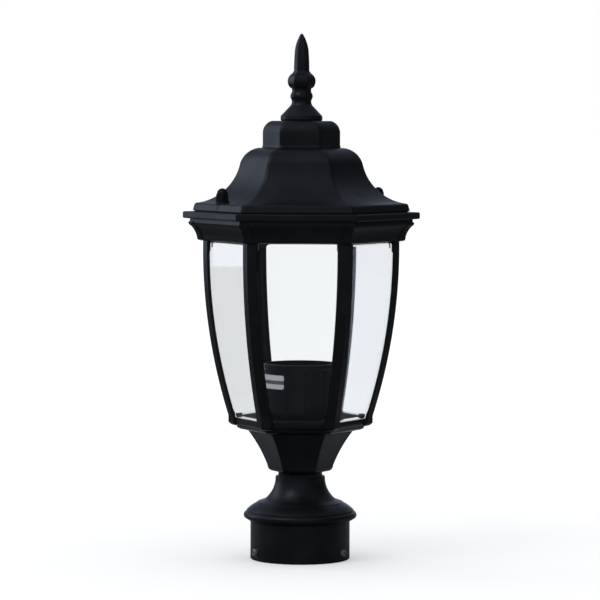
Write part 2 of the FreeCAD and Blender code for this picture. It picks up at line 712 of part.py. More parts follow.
def make_finial():
    """A turned skirt, neck and ring under a six-sided bulb and blade, with a tapped foot."""
    base = turned("finial_base", [
        ("tie_radius + 0.05", "crown_top"), ("17.4", "crown_top"), ("18.0", "crown_top + 1.2"),
        ("17.8", "crown_top + 4.2"), ("16.6", "crown_top + 5.4"), ("9.9", "388.4"),
        ("arc", "8.4", "391.2"), ("8.7", "394.0"), ("arc", "9.6", "396.8"), ("8.5", "399.8"),
        ("arc", "8.2", "402.2"), ("9.0", "404.8"), ("0", "404.8"), ("0", "388.0"),
        ("tie_radius + 0.05", "388.0")])
    top = hexed("finial_blade", [
        ("9.4", "403.6"), ("arc", "bulb_radius", "408.5"), ("8.2", "416.2"), ("6.8", "418.4"),
        ("arc", "blade_radius", "427.4"), ("6.0", "436.4"), ("arc", "4.8", "441.8"),
        ("1.0", "finial_tip")])
    finished(fused("finial_solid", base, top), "finial")
    low = "roof_top - roof_wall"
    finished(turned("tie_body", [
        ("0", low + " - 9"), ("tie_radius - 0.4", low + " - 9"), ("tie_radius", low + " - 8.6"),
        ("tie_radius", "386.6"), ("tie_radius - 0.4", "387.0"), ("0", "387.0")]), "finial_stud")
    finished(flat_ring("tie_washer", "9.0", "tie_radius + 0.2", low + " - 1.6", low),
             "finial_washer")
    finished(plain_nut("tie_nut", "5.0", "tie_radius + 0.03", low + " - 6.6", low + " - 1.6"),
             "finial_nut")


def make_cap_nuts():
    """Domed cap nuts on the studs, each with a washer that stays with the roof."""
    low = "cap_seat + cap_washer"
    round_end = "cap_flat - 0.4"
    washers = []
    for place, angle in CAP_DIRECTIONS.items():
        name = "cap_nut_" + place
        body = padded(name + "_hexagon", hexagon("cap_flat"), low, low + " + cap_height")
        dome = turned(name + "_dome", [
            ("0", low + " + cap_height - 1"), (round_end, low + " + cap_height - 1"),
            (round_end, "cap_top - (%s)" % round_end),
            quarter(round_end, "cap_top - (%s)" % round_end), ("0", "cap_top")])
        bore = upright_rod(name + "_bore", "stud_radius + 0.05", low, "stud_head + 0.6")
        nut = less(name, fused(name + "_solid", body, dome), bore)
        nut.Placement = Placement(reach_to(angle, "stud_reach", "0"), Rotation())
        finished(nut, name)
        washer = flat_ring("cap_washer_" + place, "5.6", "stud_radius + 0.35", "cap_seat", low)
        washer.Placement = Placement(reach_to(angle, "stud_reach", "0"), Rotation())
        washers.append(washer)
    group("cap_washers", washers)


# ------------------------------------------------------------------ cup, lampholder and leads

def make_cup():
    inner = "cup_side - cup_wall"
    turn = "cup_foot + cup_fillet"
    middle = "cup_side - cup_fillet"
    body = turned("cup_body", [
        ("nipple_hole", "cup_foot"), (middle, "cup_foot"),
        quarter("cup_fillet", turn, middle, -1), ("cup_side", turn),
        ("cup_side", "cup_top - 4.6"), ("cup_radius", "cup_top - 4.2"),
        ("cup_radius", "cup_top - 0.8"), ("cup_radius - 0.8", "cup_top"), (inner, "cup_top"),
        (inner, turn), quarter("cup_fillet - cup_wall", turn, middle, -1),
        (middle, "cup_foot + cup_wall"), ("nipple_hole", "cup_foot + cup_wall")])
    flutes = [upright_rod("cup_flute_%d" % n, "1.9", "124", "cup_top - 6", "cup_side + 1.2",
                          30.0 * n + 10) for n in range(12) if n != UNDER_LABEL]
    finished(less("cup", body, *flutes), "socket_cup")
    skin = flat_ring("label_skin", "cup_side + 0.25", "cup_side", "146.4", "161.4")
    slab = radial_block("label_slab", "20", "40", "27.4", "146", "162", LABEL_DIRECTION)
    finished(common("label", skin, slab), "blank_label")


def make_lampholder():
    """A porcelain body screwed on the nipple, with the brass shell that takes the lamp."""
    body = turned("holder_body", [
        ("nipple_radius + 0.05", "holder_foot"), ("14", "holder_foot"),
        ("17", "holder_foot + 3"), ("17", "133"), ("holder_radius", "136"),
        ("holder_radius", "holder_top - 1.5"), ("holder_radius - 1.5", "holder_top"),
        ("lamp_thread + shell_wall + 0.05", "holder_top"),
        ("lamp_thread + shell_wall + 0.05", "holder_floor"), ("6.05", "holder_floor"),
        ("6.05", "holder_floor - contact_thickness"), ("2.9", "holder_floor - contact_thickness"),
        ("2.9", "136.2"), ("13.2", "136.2"), ("13.2", "129.5"), ("nipple_radius + 0.05", "129.5")])
    neutral_hole = upright_rod("neutral_hole", "1.3", "135", "holder_floor + 1", "11", 180.0)
    finished(less("holder", body, neutral_hole), "lampholder_body")
    finished(turned("shell_body", [
        ("9.0", "holder_floor"), ("lamp_thread + shell_wall", "holder_floor"),
        ("lamp_thread + shell_wall", "holder_top - 0.8"), ("lamp_thread", "holder_top - 0.8"),
        ("lamp_thread", "holder_floor + 0.8"), ("9.0", "holder_floor + 0.8")]), "screw_shell")
    finished(turned("contact_body", [
        ("0", "holder_floor - contact_thickness"), ("6.0", "holder_floor - contact_thickness"),
        ("6.0", "holder_floor"), ("2.8", "holder_floor"), ("2.0", "holder_floor + 0.75"),
        ("0", "holder_floor + 0.75")]), "centre_contact")


def make_terminals():
    """A terminal block that hangs on the leads inside the fitter, and its earthing screw."""
    half = "pole_pitch * 1.5 + 1"
    block = padded("block_body", [("-(%s)" % half, "-6"), (half, "-6"), (half, "6"),
                                  ("-(%s)" % half, "6")], "block_foot", "block_head")
    tools = []
    screws = []
    for pole in (-1, 0, 1):
        across = size("pole_pitch") * pole
        hole = upright_rod("pole_%d" % (pole + 1), "1.7", "block_foot", "block_head")
        hole.Placement = Placement(Vector(across, 0, size("block_foot")), Rotation())
        tools.append(hole)
        for level, height in enumerate(("block_foot + 3.2", "block_head - 3.2")):
            mark = "%d_%d" % (pole + 1, level)
            lie = Rotation(Vector(1, 0, 0), 90)
            for part, radius, start in (("thread", "1.22", 0.0), ("mouth", "1.9", -3.3)):
                way = upright_rod("screw_%s_%s" % (part, mark), radius, "0", "5")
                way.Placement = Placement(Vector(across, start, size(height)), lie)
                tools.append(way)
            screw = pan_screw("clamp_screw_" + mark, "1.2", "2.2", "1.75")
            screw.Placement = Placement(Vector(across, -1.1, size(height)), lie)
            screws.append(screw)
    finished(less("block", block, *tools), "terminal_block")
    group("terminal_screws", screws)
    screw = pan_screw("earth_screw_body", "1.95", "5.0", "3.3")
    under = "collar_height - top_plate"
    screw.Placement = Placement(reach_to(90.0, "earth_reach", under + " + 4.2"),
                                Rotation(Vector(1, 0, 0), 180))
    finished(screw, "earth_screw")
    face = under + " - eyelet_thickness"
    eye = upright_rod("eyelet_disc", "3.4", face, under, "earth_reach", 90.0)
    tail = doc.addObject("Part::Box", "eyelet_tail")
    tail.setExpression("Length", bound("eyelet_tail"))
    tail.setExpression("Width", bound("eyelet_width"))
    tail.setExpression("Height", bound("eyelet_thickness"))
    tail.Placement = Placement(
        Vector(0, size("earth_reach - eyelet_width / 2"), size(face)), Rotation())
    hole = upright_rod("eyelet_hole", "2.1", under + " - 1", under + " + 1", "earth_reach", 90.0)
    finished(less("eyelet", fused("eyelet_solid", eye, tail), hole), "earth_eyelet")


def lead_path(points):
    """Straight runs joined by tangent arcs. Each radius is 0.45 of the shorter run beside a point,
    divided by the tangent of half its turn."""
    edges = []
    start = points[0]
    for before, here, after in zip(points, points[1:], points[2:]):
        arriving = (here - before).normalize()
        leaving = (after - here).normalize()
        trim = 0.45 * min((here - before).Length, (after - here).Length)
        turn = arriving.getAngle(leaving)
        radius = trim / math.tan(turn / 2)
        enter = here - arriving * trim
        leave = here + leaving * trim
        inward = (leaving - arriving).normalize()
        centre = here + inward * (radius / math.cos(turn / 2))
        print("lead arc radius %.1f" % radius)
        edges.append(Part.LineSegment(start, enter).toShape())
        edges.append(Part.Arc(enter, centre - inward * radius, leave).toShape())
        start = leave
    edges.append(Part.LineSegment(start, points[-1]).toShape())
    return Part.Wire(edges)


def make_lead(label, points):
    """An insulated lead of round section along its route."""
    path = lead_path(points)
    heading = points[1] - points[0]
    section = Part.Wire(Part.Circle(points[0], heading, size("lead_radius")).toShape())
    lead = doc.addObject("Part::Feature", label + "_tube")
    lead.Shape = path.makePipeShell([section], True, False)
    due = math.pi * size("lead_radius") ** 2 * path.Length
    print("%s length %.1f, volume %.4f of its due" % (label, path.Length, lead.Shape.Volume / due))
    finished(lead, label)


def make_leads():
    beside = 1.45
    pole = size("pole_pitch")
    floor = size("holder_floor")
    entry = size("block_head") - 5.5
    make_lead("live_lead", [
        Vector(pole, 0, entry), Vector(pole, 0, 52.4), Vector(beside, 0, 59.2),
        Vector(beside, 0, size("holder_floor - contact_thickness"))])
    make_lead("neutral_lead", [
        Vector(-pole, 0, entry), Vector(-pole, 0, 52.4), Vector(-beside, 0, 59.2),
        Vector(-beside, 0, 129.6), Vector(-11, 0, 134.0), Vector(-11, 0, floor)])
    eyelet_face = size("collar_height - top_plate - eyelet_thickness")
    make_lead("earth_lead", [
        Vector(0, 0, entry), Vector(0, 0, 53.5), Vector(4.6, 8.4, 57.0),
        Vector(7.0, size("earth_reach"), 60.6), Vector(7.0, size("earth_reach"), eyelet_face)])


# ------------------------------------------------------------------ the whole lantern

def write_parts():
    doc.recompute()
    for item in doc.Objects:
        for state in ("Invalid", "Error"):
            if state in item.State:
                raise RuntimeError("%s is %s" % (item.Name, state))
    for item in sub_parts:
        if item.Shape.isNull() or not item.Shape.isValid() or not item.Shape.Solids:
            raise RuntimeError("%s has no sound solid" % item.Label)
        if item.Shape.Volume <= 0:
            raise RuntimeError("%s is inside out" % item.Label)
    os.makedirs("parts", exist_ok=True)
    for item in sub_parts:
        item.Shape.exportStep("parts/%s.step" % item.Label)
    print("%d sub-parts" % len(sub_parts))


make_fitter()
make_grub_screws()
make_clamp()
make_bowl()
make_lower_frame()
make_bar()
make_ribs()
make_panes()
make_rib_fasteners()
make_upper_frame()
make_roof_studs()
make_roof()
make_crown()
make_finial()
make_cap_nuts()
make_cup()
make_lampholder()
make_terminals()
make_leads()
write_parts()
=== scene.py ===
import json
from math import cos, radians, sin, tan

import bmesh
import bpy
import numpy as np
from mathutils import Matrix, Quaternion, Vector


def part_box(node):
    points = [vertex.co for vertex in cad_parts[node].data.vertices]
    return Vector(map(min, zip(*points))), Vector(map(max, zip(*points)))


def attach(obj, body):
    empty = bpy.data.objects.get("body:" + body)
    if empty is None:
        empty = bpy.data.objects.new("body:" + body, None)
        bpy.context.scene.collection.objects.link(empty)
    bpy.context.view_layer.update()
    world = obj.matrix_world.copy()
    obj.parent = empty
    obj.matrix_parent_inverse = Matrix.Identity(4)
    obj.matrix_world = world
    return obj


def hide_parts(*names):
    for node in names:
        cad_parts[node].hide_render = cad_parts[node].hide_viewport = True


bl_info = {
    "name": "Post top lantern",
    "version": (1, 0, 0),
    "blender": (4, 5, 0),
    "location": "3D View > Sidebar > Lantern",
    "description": "Dresses the frame of a six-sided post top lantern in castings and glass",
    "category": "Object",
}

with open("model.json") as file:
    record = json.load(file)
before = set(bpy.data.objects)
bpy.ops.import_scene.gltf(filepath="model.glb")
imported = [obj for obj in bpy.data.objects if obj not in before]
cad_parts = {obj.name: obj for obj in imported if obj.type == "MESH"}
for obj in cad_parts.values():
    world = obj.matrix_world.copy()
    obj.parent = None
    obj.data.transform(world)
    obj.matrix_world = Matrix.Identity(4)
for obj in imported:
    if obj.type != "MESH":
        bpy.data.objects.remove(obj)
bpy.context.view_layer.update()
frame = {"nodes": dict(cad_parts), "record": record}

MM = 0.001
SIDES = 6
FACET_HALF = radians(180 / SIDES)
CORNER_STEP = 2 * FACET_HALF
CORNERS = ("right", "rear_right", "rear_left", "left", "front_left", "front_right")
FACETS = ("rear_right", "rear", "rear_left", "front_left", "front", "front_right")
# directions from +X in degrees, and distances and heights in millimetres
GRUB_ANGLES = (-30, 90, 210)
GRUB_HEIGHT = 7.5
CAP_ANGLES = (210, 30)
CAP_REACH = 75.3
CAP_SEAT = 307.0
LABEL_ANGLE = 219
LABEL_HEIGHT = 153.9
CUP_RADIUS = 31.0
# the circle that the ribs are bowed to: its reach where it stands upright, radius and height
BOW_REACH, BOW_RADIUS, BOW_HEIGHT = 84.2, 478.0, 266.9
BODY_OF = {node: body for body, nodes in frame["record"]["behaviour"]["bodies"].items()
           for node in nodes}


# ------------------------------------------------------------------ sizes and colours

class LanternSizes(bpy.types.PropertyGroup):
    """Roundings of the pieces and scales of their finishes."""

    roof_round: bpy.props.FloatProperty(
        name="Roof corners", description="Rounding of the roof's and crown's upright corners",
        default=3.2 * MM, unit="LENGTH")
    cast_round: bpy.props.FloatProperty(
        name="Casting corners", description="Rounding of the other castings' upright corners",
        default=1.6 * MM, unit="LENGTH")
    edge_round: bpy.props.FloatProperty(
        name="Casting edges", description="Rounding of the edges that run round a casting",
        default=0.7 * MM, unit="LENGTH")
    fine_round: bpy.props.FloatProperty(
        name="Small edges", description="Rounding of the edges of ribs, screws and nuts",
        default=0.35 * MM, unit="LENGTH")
    orange_peel: bpy.props.FloatProperty(
        name="Powder coat grain", description="Width of the powder coat's low bumps",
        default=1.6 * MM, unit="LENGTH")
    cast_wave: bpy.props.FloatProperty(
        name="Casting waviness", description="Width of the unevenness of the cast surface",
        default=24.0 * MM, unit="LENGTH")
    brush_pitch: bpy.props.FloatProperty(
        name="Brushing", description="Distance between the fine lines on plated steel",
        default=0.5 * MM, unit="LENGTH")
    glass_wave: bpy.props.FloatProperty(
        name="Glass waviness", description="Width of the slow waves in bent glass",
        default=70.0 * MM, unit="LENGTH")


class LanternColours(bpy.types.PropertyGroup):
    """Colours of the finishes, as sRGB hex values."""

    coat: bpy.props.StringProperty(
        name="Powder coat", description="Black coat of the castings", default="#050608")
    coat_thin: bpy.props.StringProperty(
        name="Thin powder coat", description="Where the coat has run thin", default="#0B0D11")
    glass: bpy.props.StringProperty(
        name="Glass", description="Tint of the panes", default="#FDFEFE")
    cup: bpy.props.StringProperty(
        name="Cup", description="Moulded cup round the lampholder", default="#0A0B0F")
    cup_streak: bpy.props.StringProperty(
        name="Cup streaks", description="Flow streaks in the cup", default="#12131A")
    label: bpy.props.StringProperty(
        name="Label", description="Paper of the blank label", default="#F0F1F5")
    label_band: bpy.props.StringProperty(
        name="Label band", description="Band printed across the label", default="#6E727D")
    porcelain: bpy.props.StringProperty(
        name="Porcelain", description="Glazed lampholder", default="#E8E4D8")
    brass: bpy.props.StringProperty(
        name="Brass", description="Screw shell, contact and terminals", default="#D3B270")
    zinc: bpy.props.StringProperty(
        name="Zinc plate", description="Plated steel fasteners", default="#D5D7DA")
    dull_zinc: bpy.props.StringProperty(
        name="Dull zinc plate", description="Darker patches of the plating", default="#AEB1B4")
    rubber: bpy.props.StringProperty(
        name="Rubber", description="Gaskets", default="#1A1A1B")
    terminal: bpy.props.StringProperty(
        name="Terminal block", description="Moulded terminal block", default="#E3E2DC")
    live: bpy.props.StringProperty(
        name="Live lead", description="Insulation of the live lead", default="#17181A")
    neutral: bpy.props.StringProperty(
        name="Neutral lead", description="Insulation of the neutral lead", default="#E9E8E2")
    earth: bpy.props.StringProperty(
        name="Earth lead", description="Insulation of the earth lead", default="#2E7A3A")
    floor: bpy.props.StringProperty(
        name="Floor", description="Pale painted floor", default="#E6E7E9")
    # painted reflection: the floor as the coat mirrors it gets this darker colour in place of shade
    painted_floor_reflection: bpy.props.StringProperty(
        name="Mirrored floor", description="Floor as the lantern's coat mirrors it",
        default="#404346")
    # painted light: a brighter patch of floor close behind the lantern, seen only in reflections
    pool: bpy.props.StringProperty(
        name="Mirrored pool", description="Brighter floor close behind the lantern",
        default="#7F8489")
    room: bpy.props.StringProperty(
        name="Mirrored room", description="Daylight in the room that the coat mirrors",
        default="#C6D6F2")


def sizes():
    return bpy.context.scene.lantern_sizes


def colours():
    return bpy.context.scene.lantern_colours


def linear(hex_colour):
    """An sRGB hex value as linear red, green, blue and alpha."""
    srgb = np.array([int(hex_colour[start:start + 2], 16) for start in (1, 3, 5)]) / 255
    straight = np.where(srgb <= 0.04045, srgb / 12.92, ((srgb + 0.055) / 1.055) ** 2.4)
    return (*straight.tolist(), 1.0)


# ------------------------------------------------------------------ outlines

def arc_points(start, middle, end, count=18):
    """Points of the arc from start to end through middle: the centre is as far from all three,
    and the points are evenly spaced by angle. The last point is left out."""
    start, middle, end = (np.array(point, float) for point in (start, middle, end))
    chords = 2 * np.array([middle - start, end - start])
    squares = np.array([middle @ middle - start @ start, end @ end - start @ start])
    centre = np.linalg.solve(chords, squares)
    angles = [np.arctan2(*(point - centre)[::-1]) for point in (start, middle, end)]
    to_middle = (angles[1] - angles[0]) % (2 * np.pi)
    to_end = (angles[2] - angles[0]) % (2 * np.pi)
    sweep = to_end if to_middle < to_end else to_end - 2 * np.pi
    along = angles[0] + sweep * np.arange(count) / count
    radius = np.linalg.norm(start - centre)
    return centre + radius * np.column_stack([np.cos(along), np.sin(along)])


def outline(entries, rounding, closed=True):
    """A softened outline from (radius, height) corners in millimetres, in metres. An
    ("arc", radius, height) entry is a point on the arc between its neighbours."""
    runs = []
    count = len(entries)
    for index, entry in enumerate(entries):
        after = entries[(index + 1) % count]
        if entry[0] == "arc":
            continue
        if after[0] == "arc":
            runs.append(arc_points(entry, after[1:], entries[(index + 2) % count]))
        else:
            runs.append(np.array([entry], float))
    return softened(np.vstack(runs) * MM, rounding, closed)


def softened(points, rounding, closed=True, steps=5, least_turn=radians(14)):
    """Each corner of an outline becomes a short curve: its point, pulled back along the run before
    by (1 - s) squared and forward along the run after by s squared, for s from 0 to 1."""
    before = points - np.roll(points, 1, axis=0)
    after = np.roll(points, -1, axis=0) - points
    length_before = np.linalg.norm(before, axis=1)
    length_after = np.linalg.norm(after, axis=1)
    before = before / length_before[:, None]
    after = after / length_after[:, None]
    turn = np.arccos(np.clip((before * after).sum(axis=1), -1, 1))
    reach = np.minimum(rounding * np.tan(turn / 2), 0.45 * np.minimum(length_before, length_after))
    corner = turn > least_turn
    if not closed:
        corner[[0, -1]] = False
    reach = np.where(corner, reach, 0)
    along = np.linspace(0, 1, steps)
    curve = (points[:, None, :]
             - (1 - along[None, :, None]) ** 2 * (reach[:, None] * before)[:, None, :]
             + along[None, :, None] ** 2 * (reach[:, None] * after)[:, None, :])
    wanted = corner[:, None] | (np.arange(steps)[None, :] == 0)
    return curve[wanted]


# ------------------------------------------------------------------ surfaces

# points of a new surface and of a frame piece that are closer than this are one point, in metres
DOUBLED, DOUBLED_IN_FRAME = 1e-7, 1e-6
# points on each rounded corner of a hexagon, and where along a flat its points lie
CORNER_POINTS = 8
FLAT_SHARES = np.array([0.04, 0.5, 0.96])


def skin(name, rings, closed_path=False):
    """A mesh of quads through rings of points (ring, point, xyz). Each ring joins up with itself.
    The rings join end to end, or the first and last are closed with one flat face each."""
    count, around = rings.shape[:2]
    index = np.arange(count * around).reshape(count, around)
    steps = count if closed_path else count - 1
    here = index[np.arange(steps)]
    there = index[(np.arange(steps) + 1) % count]
    quads = np.stack([here, np.roll(here, -1, axis=1), np.roll(there, -1, axis=1), there], axis=2)
    faces = quads.reshape(-1, 4).tolist()
    if not closed_path:
        faces += [index[0][::-1].tolist(), index[-1].tolist()]
    mesh = bpy.data.meshes.new(name)
    mesh.from_pydata(rings.reshape(-1, 3).tolist(), [], faces)
    outward(mesh)
    piece = bpy.data.objects.new(name, mesh)
    bpy.context.scene.collection.objects.link(piece)
    return piece


def outward(mesh):
    """Merge doubled points and turn every face outwards."""
    shape = bmesh.new()
    shape.from_mesh(mesh)
    bmesh.ops.remove_doubles(shape, verts=shape.verts, dist=DOUBLED)
    bmesh.ops.recalc_face_normals(shape, faces=shape.faces)
    shape.to_mesh(mesh)
    shape.free()
    mesh.shade_smooth()


def around_circle(count):
    """Angles of evenly spaced points round a circle."""
    return np.arange(count) / count * 2 * np.pi


def turned(name, profile, closed=True, count=120):
    """A surface of revolution: (radius cos t, radius sin t, height) for t round the axis."""
    turn = around_circle(count)
    rings = np.empty((len(profile), count, 3))
    rings[..., 0] = profile[:, :1] * np.cos(turn)
    rings[..., 1] = profile[:, :1] * np.sin(turn)
    rings[..., 2] = profile[:, 1:]
    return skin(name, rings, closed_path=closed)


def hexed(name, profile, rounding, closed=True):
    """A profile of (corner radius, height) carried round a hexagon. A corner's points are the
    centre of its rounding plus the rounding's radius along the normal, which swings by half a
    facet's angle to each side, and a flat's points are mixed from the ends of its two corners."""
    corner = np.repeat(np.arange(SIDES) * CORNER_STEP, CORNER_POINTS)
    normal = corner + np.tile(np.linspace(-FACET_HALF, FACET_HALF, CORNER_POINTS), SIDES)
    radius = profile[:, :1]
    # close to the axis the rounding stays just inside the hexagon
    ease = np.minimum(rounding, radius * cos(FACET_HALF) * 0.98)
    centre = radius - ease / cos(FACET_HALF)
    arcs = np.stack([centre * np.cos(corner) + ease * np.cos(normal),
                     centre * np.sin(corner) + ease * np.sin(normal)], axis=2)
    arcs = arcs.reshape(len(profile), SIDES, CORNER_POINTS, 2)
    start = arcs[:, :, -1:, :]
    end = np.roll(arcs[:, :, :1, :], -1, axis=1)
    share = FLAT_SHARES[None, None, :, None]
    flats = start * (1 - share) + end * share
    flat_rings = np.concatenate([arcs, flats], axis=2).reshape(len(profile), -1, 2)
    rings = np.empty(flat_rings.shape[:2] + (3,))
    rings[..., :2] = flat_rings
    rings[..., 2] = profile[:, 1:]
    return skin(name, rings, closed_path=closed)


def rod(name, radius, start, end, count=40):
    """A plain cylinder between two points, used to cut holes."""
    start, end = Vector(start), Vector(end)
    turn = around_circle(count)
    spin = (end - start).to_track_quat("Z", "Y").to_matrix()
    circle = np.column_stack([np.cos(turn), np.sin(turn), np.zeros(count)]) * radius
    circle = circle @ np.array(spin).T
    return skin(name, np.stack([circle + np.array(start), circle + np.array(end)]))


def merged(piece, others, operation):
    """The piece with the others joined on (UNION) or cut out (DIFFERENCE), as a plain mesh."""
    for other in others:
        change = piece.modifiers.new(operation.title(), "BOOLEAN")
        change.object = other
        change.operation = operation
        change.solver = "EXACT"
    shaped = bpy.data.meshes.new_from_object(
        piece.evaluated_get(bpy.context.evaluated_depsgraph_get()))
    piece.modifiers.clear()
    piece.data = shaped
    shaped.shade_smooth()
    for other in others:
        bpy.data.objects.remove(other)
    return piece


def at(distance, degrees, height):
    """A point that far from the axis, in a direction from +X, at a height. Millimetres in."""
    turn = radians(degrees)
    return (distance * cos(turn) * MM, distance * sin(turn) * MM, height * MM)


# ------------------------------------------------------------------ placing and finishing

def keep_flat(piece):
    """Corner normals follow the large faces, so that flats look flat beside their roundings."""
    weighted = piece.modifiers.new("Flat faces", "WEIGHTED_NORMAL")
    weighted.weight = 100
    weighted.keep_sharp = False


def placed(piece, material, *nodes):
    """The piece stands for its nodes, rides on their body and takes their finish."""
    piece.data.materials.clear()
    piece.data.materials.append(material)
    keep_flat(piece)
    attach(piece, BODY_OF[nodes[0]])
    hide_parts(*nodes)


def eased_copy(node, material, rounding):
    """A copy of a piece of the frame with its doubled points merged, its flat faces made whole and
    its edges rounded."""
    shape = bmesh.new()
    shape.from_mesh(frame["nodes"][node].data)
    bmesh.ops.remove_doubles(shape, verts=shape.verts, dist=DOUBLED_IN_FRAME)
    bmesh.ops.dissolve_limit(shape, angle_limit=radians(0.3), verts=shape.verts,
                             edges=shape.edges)
    mesh = bpy.data.meshes.new(node + "_eased")
    shape.to_mesh(mesh)
    shape.free()
    mesh.shade_smooth()
    piece = bpy.data.objects.new(node + "_eased", mesh)
    bpy.context.scene.collection.objects.link(piece)
    bevel = piece.modifiers.new("Eased edges", "BEVEL")
    bevel.width = rounding
    bevel.segments = 2
    bevel.limit_method = "ANGLE"
    bevel.angle_limit = radians(34)
    bevel.use_clamp_overlap = True
    placed(piece, material, node)


def cap_rods(name, radius, foot, head):
    """An upright rod at each of the two cap nuts. Millimetres in."""
    return [rod(name, radius * MM, at(CAP_REACH, angle, foot), at(CAP_REACH, angle, head))
            for angle in CAP_ANGLES]


def dressed(material, *nodes):
    """Pieces of the frame that keep their own shape and get a finish."""
    for node in nodes:
        for place in frame["nodes"][node].material_slots:
            place.material = material


# ------------------------------------------------------------------ materials

def add_node(tree, kind, inputs=None, **settings):
    """Add a node, set its settings, and fill its inputs with values or links."""
    node = tree.nodes.new(kind)
    for name, value in settings.items():
        setattr(node, name, value)
    for name, value in (inputs or {}).items():
        if isinstance(value, bpy.types.NodeSocket):
            tree.links.new(value, node.inputs[name])
        else:
            node.inputs[name].default_value = value
    return node


# sockets of a colour Mix node, which has several of each name
SHARE, LOW, HIGH, MIXED = 0, 6, 7, 2


def new_material(name):
    """An empty material, its node tree and the object's coordinates."""
    material = bpy.data.materials.get(name) or bpy.data.materials.new(name)
    material.use_nodes = True
    tree = material.node_tree
    tree.nodes.clear()
    place = add_node(tree, "ShaderNodeTexCoord").outputs["Object"]
    return material, tree, place


def powder_coated_aluminium():
    """Die-cast aluminium, sprayed with black powder and baked."""
    # the baked powder flows into low bumps (orange peel) over the slow waves of the casting, so
    # highlights are soft with a broken edge, and it is a little greyer where it has run thin
    material, tree, place = new_material("powder_coated_aluminium")
    # real orange peel is 1 to 2 mm wide and a few hundredths deep
    peel = add_node(tree, "ShaderNodeTexNoise", {
        "Vector": place, "Scale": 1 / sizes().orange_peel, "Detail": 2.0, "Roughness": 0.45})
    wave = add_node(tree, "ShaderNodeTexNoise", {
        "Vector": place, "Scale": 1 / sizes().cast_wave, "Detail": 3.0, "Roughness": 0.5})
    low_bumps = add_node(tree, "ShaderNodeBump", {
        "Height": wave.outputs["Fac"], "Strength": 0.16, "Distance": 1.2 * MM})
    bumps = add_node(tree, "ShaderNodeBump", {
        "Height": peel.outputs["Fac"], "Strength": 0.25, "Distance": 0.1 * MM,
        "Normal": low_bumps.outputs["Normal"]})
    thin = add_node(tree, "ShaderNodeMapRange", {
        "Value": wave.outputs["Fac"], "From Min": 0.45, "From Max": 0.75})
    tone = add_node(tree, "ShaderNodeMix", {
        SHARE: thin.outputs["Result"], LOW: linear(colours().coat),
        HIGH: linear(colours().coat_thin)}, data_type="RGBA")
    sheen = add_node(tree, "ShaderNodeMapRange", {
        "Value": wave.outputs["Fac"], "From Min": 0.3, "From Max": 0.7,
        "To Min": 0.33, "To Max": 0.43})
    shader = add_node(tree, "ShaderNodeBsdfPrincipled", {
        "Base Color": tone.outputs[MIXED], "Roughness": sheen.outputs["Result"], "IOR": 1.5,
        "Normal": bumps.outputs["Normal"]})
    add_node(tree, "ShaderNodeOutputMaterial", {"Surface": shader.outputs["BSDF"]})
    return material


def black_plated_brass():
    """Turned brass nuts with black plating."""
    # the plating keeps the turned metal's gloss, so it mirrors more sharply than the coat
    material, tree, place = new_material("black_plated_brass")
    mottle = add_node(tree, "ShaderNodeTexNoise", {
        "Vector": place, "Scale": 1 / (2 * MM), "Detail": 3.0})
    tone = add_node(tree, "ShaderNodeMix", {
        SHARE: mottle.outputs["Fac"], LOW: linear(colours().coat), HIGH: linear("#26282D")},
        data_type="RGBA")
    sheen = add_node(tree, "ShaderNodeMapRange", {
        "Value": mottle.outputs["Fac"], "To Min": 0.26, "To Max": 0.36})
    shader = add_node(tree, "ShaderNodeBsdfPrincipled", {
        "Base Color": tone.outputs[MIXED], "Roughness": sheen.outputs["Result"],
        "Metallic": 0.6})
    add_node(tree, "ShaderNodeOutputMaterial", {"Surface": shader.outputs["BSDF"]})
    return material


def bent_glass():
    """3 mm float glass, bent over a mould in a kiln."""
    # clear and smooth, with slow waves from the bending that pull what it mirrors
    material, tree, place = new_material("bent_glass")
    wave = add_node(tree, "ShaderNodeTexNoise", {
        "Vector": place, "Scale": 1 / sizes().glass_wave, "Detail": 1.0})
    bump = add_node(tree, "ShaderNodeBump", {
        "Height": wave.outputs["Fac"], "Strength": 0.25, "Distance": 1.0 * MM})
    shader = add_node(tree, "ShaderNodeBsdfPrincipled", {
        "Base Color": linear(colours().glass), "Roughness": 0.0, "IOR": 1.52,
        "Transmission Weight": 1.0, "Normal": bump.outputs["Normal"]})
    add_node(tree, "ShaderNodeOutputMaterial", {"Surface": shader.outputs["BSDF"]})
    return material


def moulded_phenolic():
    """Black phenolic, pressed in a steel mould."""
    # hard and semi-matte, with faint streaks where the compound flowed
    material, tree, place = new_material("moulded_phenolic")
    flow = add_node(tree, "ShaderNodeTexNoise", {
        "Vector": place, "Scale": 1 / (9 * MM), "Detail": 4.0, "Distortion": 0.8})
    grain = add_node(tree, "ShaderNodeTexNoise", {
        "Vector": place, "Scale": 1 / (0.8 * MM), "Detail": 2.0})
    bump = add_node(tree, "ShaderNodeBump", {
        "Height": grain.outputs["Fac"], "Strength": 0.18, "Distance": 0.08 * MM})
    tone = add_node(tree, "ShaderNodeMix", {
        SHARE: flow.outputs["Fac"], LOW: linear(colours().cup), HIGH: linear(colours().cup_streak)},
        data_type="RGBA")
    sheen = add_node(tree, "ShaderNodeMapRange", {
        "Value": flow.outputs["Fac"], "To Min": 0.32, "To Max": 0.42})
    shader = add_node(tree, "ShaderNodeBsdfPrincipled", {
        "Base Color": tone.outputs[MIXED], "Roughness": sheen.outputs["Result"], "IOR": 1.55,
        "Normal": bump.outputs["Normal"]})
    add_node(tree, "ShaderNodeOutputMaterial", {"Surface": shader.outputs["BSDF"]})
    return material


